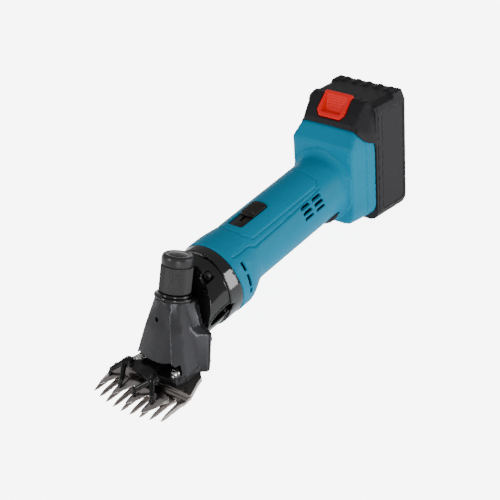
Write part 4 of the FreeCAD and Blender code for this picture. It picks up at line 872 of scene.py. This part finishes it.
def fork(x, y, z):
    """Hub on the fulcrum, web, tail with the cup for the crank roller, and the four prongs."""
    fx, fy = in_fork(x, y)
    side = np.abs(fx)
    hub = rmax(np.hypot(fx, fy) - 5.8, np.abs(z - (FORK_LOW + FORK_HIGH) / 2) - 3.1, 0.5)
    plan = poly(side, fy, FORK_PLAN) - 0.6
    low = FORK_LOW + 0.8 + 1.6 * step_up(-fy - 26.0, 5.0)
    top = z - FORK_HIGH - 0.7 * np.exp(-(side / 4.5) ** 2)
    web = rmax(rmax(plan, top, 1.0), low - z, 0.8)
    whole = rmin(hub, web, 1.0)
    tail = rmax(poly(fy, z, FORK_TAIL) - 0.6, side - 4.2, 1.2)
    cup = box3(fx, fy, z, (-6.6, 29.2, CRANK_Z - 7.5), (6.6, 35.0, CRANK_Z + 6.5), 1.0)
    whole = rmin(whole, rmin(tail, cup, 1.0), 1.4)
    slot = box3(fx, fy, z, (-3.7, 31.2, CRANK_Z - 12), (3.7, 44, CRANK_Z + 12), 0.3)
    whole = rsub(whole, slot, 0.4)
    lug = rmax(np.hypot(side - 17.5, fy + 33.2) - 4.2, np.abs(z - FORK_HIGH - 1.4) - 2.0, 1.0)
    whole = rmin(whole, lug, 1.2)
    whole = rmin(whole, fork_arms(side, fy, z), 0.8)
    socket = np.maximum(np.hypot(fx, fy) - 3.25, z - (HEAD_FLOOR + 10.8))
    return np.maximum(whole, -socket)


moulded("comb_plate", comb, (-43.0, -129.5, -53.6), (43.0, -55.5, -48.0), 0.32, "housing",
        ["comb"], "ground_steel", flat=0.15, blur=0.06)
moulded("cutter_blade", cutter_blade, (-47.0, -121.5, -50.4), (38.0, -86.0, -45.8), 0.32, "fork",
        ["cutter"], "ground_steel", "cutter_steel", flat=0.15, blur=0.06)
moulded("shearing_fork", fork, (-37.0, -112.0, -46.0), (28.0, -23.5, -8.5), 0.42, "fork",
        ["fork_yoke", "fork_foot_left", "fork_foot_right"], "fork_black", flat=0.15)


# ---- turned parts ------------------------------------------------------------------------------
def turned_piece(name, profile, segments, place, body, nodes, slot, finish=None, ribs=None):
    """Profile of (radius, height) turned about the local Z axis; ribs takes some off the radius."""
    p = []
    for r, h in profile:
        for k in range(segments):
            angle = 2 * math.pi * k / segments
            radius = r - (ribs(r, h, angle) if ribs else 0.0)
            p.append((radius * math.cos(angle), radius * math.sin(angle), h))
    rows = len(profile)
    faces = []
    for i in range(rows - 1):
        for k in range(segments):
            n = (k + 1) % segments
            faces.append((i * segments + k, i * segments + n, (i + 1) * segments + n, (i + 1) * segments + k))
    faces.append(tuple(reversed(range(segments))))
    faces.append(tuple((rows - 1) * segments + k for k in range(segments)))
    mesh = bpy.data.meshes.new(name)
    mesh.from_pydata(to_row([place(v) for v in p]).tolist(), [], faces)
    mesh.polygons.foreach_set("use_smooth", [True] * len(mesh.polygons))
    mesh.set_sharp_from_angle(angle=SHARP_ANGLE)
    finish_piece(name, mesh, body, nodes, slot, finish)


def from_head(v):
    """From the head's leaning axes to the tool frame."""
    s, c = math.sin(LEAN_HEAD), math.cos(LEAN_HEAD)
    return v[0], COLLAR_CENTRE[0] + c * v[1] + s * v[2], COLLAR_CENTRE[1] - s * v[1] + c * v[2]


def rounded_profile(corners, steps=4):
    """Corners of (radius, height, rounding), with a curve at each that has a rounding."""
    out = []
    for i, (r, h, rad) in enumerate(corners):
        if rad <= 0 or i in (0, len(corners) - 1):
            out.append((r, h))
            continue
        here = Vector((r, h))
        a = Vector(corners[i - 1][:2]) - here
        b = Vector(corners[i + 1][:2]) - here
        a = here + a.normalized() * min(rad, a.length * 0.49)
        b = here + b.normalized() * min(rad, b.length * 0.49)
        for k in range(steps + 1):
            t = k / steps
            q = a * (1 - t) ** 2 + here * 2 * t * (1 - t) + b * t * t
            out.append((q.x, q.y))
    return out


SHARP_ANGLE = math.radians(38)
KNOB_R = 13.4
KNURLS = 72
KNURL_RUNS = 14  # parts of the skirt's height, so that the knurls can fade out at its ends
ROUND_SIDES = 128


def knurl(r, h, angle):
    """Depth of the knurling, none off the outer skirt."""
    if r < KNOB_R - 0.25:
        return 0.0
    fade = min(max((h - 5.9) / 0.5, 0.0), 1.0) * min(max((27.2 - h) / 0.5, 0.0), 1.0)
    return 0.38 * fade * (0.5 - 0.5 * math.cos(angle * KNURLS)) ** 0.7


skirt = rounded_profile([(5.0, 5.2, 0), (12.4, 5.2, 0.4), (KNOB_R, 6.1, 0.5), (KNOB_R, 26.9, 0.4),
                         (12.7, 27.45, 0.2), (5.0, 27.45, 0)])
tall = []
for (r0, h0), (r1, h1) in zip(skirt[:-1], skirt[1:]):
    pieces = KNURL_RUNS if h1 - h0 > 5 else 1
    tall += [(r0 + (r1 - r0) * k / pieces, h0 + (h1 - h0) * k / pieces) for k in range(pieces)]
tall.append(skirt[-1])
turned_piece("tension_knob_skirt", tall, KNURLS * 8, from_head, "tension_knob", ["tension_knob"],
             "knob_steel", ribs=knurl)
cap = rounded_profile([(0.05, 27.5, 0), (12.2, 27.5, 0.2), (12.2, 28.4, 0.2), (KNOB_R - 0.1, 28.9, 0.4),
                       (KNOB_R - 0.1, 33.6, 1.0), (12.6, 35.8, 0.8), (10.9, 37.0, 0.8), (8.9, 36.5, 0.7),
                       (6.4, 37.1, 1.2), (0.05, 37.8, 2.0)])
turned_piece("tension_knob_cap", cap, ROUND_SIDES, from_head, "tension_knob", ["knob_cap"],
             "knob_steel", "knob_cap")
collar = rounded_profile([(5.1, 0.02, 0), (15.9, 0.02, 0.4), (16.6, 0.6, 0.5), (16.6, 2.3, 0.7),
                          (14.7, 3.0, 0.4), (14.2, 3.3, 0.3), (14.2, 4.3, 0.5), (13.6, 4.8, 0.4),
                          (5.1, 4.8, 0)], 5)
turned_piece("tension_collar_rings", collar, ROUND_SIDES, from_head, "housing", ["tension_collar"],
             "gloss_black")


# ---- switch and dial ---------------------------------------------------------------------------
def switch_plate(x, y, z):
    """Curved plate in the saddle, with a slot for the button's stem."""
    rho = np.hypot(x, z)
    plate = np.maximum(rho - 27.2, 26.0 - rho)
    plate = rmax(plate, box2(np.abs(x), y, (-9, 36.02), (7.98, 71.98), 2.6), 0.2)
    plate = np.maximum(plate, -z)
    return rsub(plate, box2(x, y, (-1.3, 44.0), (1.3, 65.0), 1.0), 0.15)


def switch_slider(x, y, z):
    """Ribbed thumb button, its stem, and the strip that covers the slot from below."""
    side = np.abs(x)
    rho = np.hypot(x, z)
    front = 50.8 + 2.2 * (side / 7.6) ** 2 - y
    top = 29.9 - 0.9 * np.exp(-((y - 53.6) / 1.6) ** 2)
    ridges = 0.45 * np.maximum(np.cos((y - 56.4) / 2.5 * 2 * math.pi), -0.3) * step_up(y - 55.4, 0.4)
    button = np.maximum(rho - top + 0.35 - ridges * 0.9, 27.5 - rho)
    button = rmax(button, np.maximum(box2(side, y, (-9, 45), (7.6, 71.5), 2.4), front), 0.5)
    button = np.maximum(button, -z)
    stem = box3(x, y, z, (-1.1, 57.8, 24.3), (1.1, 63.8, 28.4), 0.2)
    shutter = box3(x, y, z, (-2.9, 43.4, 25.0), (2.9, 66.0, 25.8), 0.2)
    stem = unite(stem, shutter)
    return rmin(button, stem, 0.3) * 0.9


moulded("switch_surround", switch_plate, (-8.5, 35.5, 23.5), (8.5, 72.5, 28.0), 0.3, "housing",
        ["switch_plate"], "black_plastic", "switch_black", flat=0.15)
moulded("switch_thumb", switch_slider, (-8.3, 42.5, 23.8), (8.3, 72.5, 30.6), 0.25, "switch",
        ["switch_slider"], "black_plastic", "switch_black", flat=0.1)


DIAL_RIBS = 30


def from_dial(v):
    """From the speed dial's axes to the tool frame."""
    c, s = math.cos(DIAL_ANGLE), math.sin(DIAL_ANGLE)
    lx = v[0] + DIAL_CENTRE
    return c * lx + s * v[2], DIAL_Y + v[1], -s * lx + c * v[2]


def dial_ribs(r, _, angle):
    """Depth of the grip round the wheel's rim."""
    return 0.0 if r < 13.0 else 0.55 * (0.5 - 0.5 * math.cos(angle * DIAL_RIBS)) ** 2


wheel = rounded_profile([(1.6, -11.2, 0), (1.6, -DIAL_HALF, 0), (13.9, -DIAL_HALF, 0.4), (DIAL_R, -2.5, 0.5),
                         (DIAL_R, 2.5, 0.5), (13.9, DIAL_HALF, 0.4), (0.05, DIAL_HALF, 0)])
turned_piece("speed_dial_wheel", wheel, DIAL_RIBS * 8, from_dial, "speed_dial", ["speed_dial"],
             "black_plastic", "switch_black", dial_ribs)


# ---- stage -------------------------------------------------------------------------------------
CAMERA_LENS = 95.7
CAMERA_AT = (0.68636, -0.65638, 0.68689)
CAMERA_LOOKS = (-0.60165, 0.56832, -0.56128)
CAMERA_UP = (-0.26136, 0.52394, 0.81066)
SKY = 0.4
FLOOR_HALF = 6.0
FLOOR_Z = -0.0005
FLOOR_GLOW = 0.9
FLOOR_GLOW_SEEN = 6.0  # added where the camera sees the floor itself, to come near the photo's white
LIGHTS = (("key_right", (1.5, 1.02, 0.33), 0.62, 10),
          ("front_left", (-0.5, -1.3, 0.9), 0.5, 8),
          ("front_right", (1.1, -1.0, 0.4), 0.4, 6))  # name, place, diameter, power
LIGHTS_AIM = Vector((0, 0, 0.05))


def camera():
    """The photograph's viewpoint."""
    data = bpy.data.cameras.new("photo_view")
    data.sensor_width = 36.0
    data.lens = CAMERA_LENS
    cam = bpy.data.objects.new("photo_view", data)
    bpy.context.scene.collection.objects.link(cam)
    forward = Vector(CAMERA_LOOKS).normalized()
    right = forward.cross(Vector(CAMERA_UP)).normalized()
    turned = Matrix((right, right.cross(forward), -forward)).transposed().to_4x4()
    cam.matrix_world = Matrix.Translation(CAMERA_AT) @ turned
    bpy.context.scene.camera = cam


def soft_light(name, place, size, power):
    """Round area light that faces the tool."""
    data = bpy.data.lights.new(name, "AREA")
    data.shape = "DISK"
    data.size = size
    data.energy = power
    lamp = bpy.data.objects.new(name, data)
    bpy.context.scene.collection.objects.link(lamp)
    lamp.location = place
    lamp.rotation_mode = "QUATERNION"
    lamp.rotation_quaternion = (LIGHTS_AIM - Vector(place)).to_track_quat("-Z", "Y")


def floor():
    """Plain pale floor, just under the comb and the battery."""
    mesh = bpy.data.meshes.new("floor")
    corners = [(a * FLOOR_HALF, b * FLOOR_HALF, FLOOR_Z) for a, b in ((-1, -1), (1, -1), (1, 1), (-1, 1))]
    mesh.from_pydata(corners, [], [(0, 1, 2, 3)])
    obj = bpy.data.objects.new("floor", mesh)
    bpy.context.scene.collection.objects.link(obj)
    material = surface("pale_floor", (0.93, 0.93, 0.93), 0.9, tint=0.005, tint_scale=2.0)
    mesh.materials.append(material)
    nodes, links = material.node_tree.nodes, material.node_tree.links
    shader = nodes["Principled BSDF"]
    shader.inputs["Emission Color"].default_value = (1, 1, 1, 1)
    seen = nodes.new("ShaderNodeLightPath")
    glow = nodes.new("ShaderNodeMath")
    glow.operation = "MULTIPLY_ADD"
    glow.inputs[1].default_value = FLOOR_GLOW_SEEN
    glow.inputs[2].default_value = FLOOR_GLOW
    links.new(seen.outputs["Is Camera Ray"], glow.inputs[0])
    links.new(glow.outputs[0], shader.inputs["Emission Strength"])


def stage():
    """White surroundings, the floor and the lights."""
    world = bpy.data.worlds.new("studio")
    world.use_nodes = True
    back = world.node_tree.nodes["Background"]
    back.inputs["Color"].default_value = (1, 1, 1, 1)
    back.inputs["Strength"].default_value = SKY
    bpy.context.scene.world = world
    floor()
    for light in LIGHTS:
        soft_light(*light)


def dress_frame():
    """Every CAD node gets its own finish."""
    slots = {part["node"]: part["material_slot"] for part in frame["record"]["subparts"]}
    for node, obj in frame["nodes"].items():
        obj.data.materials.clear()
        obj.data.materials.append(FINISH["knob_steel" if node == "gear_case_screws" else slots[node]])


camera()
stage()
dress_frame()
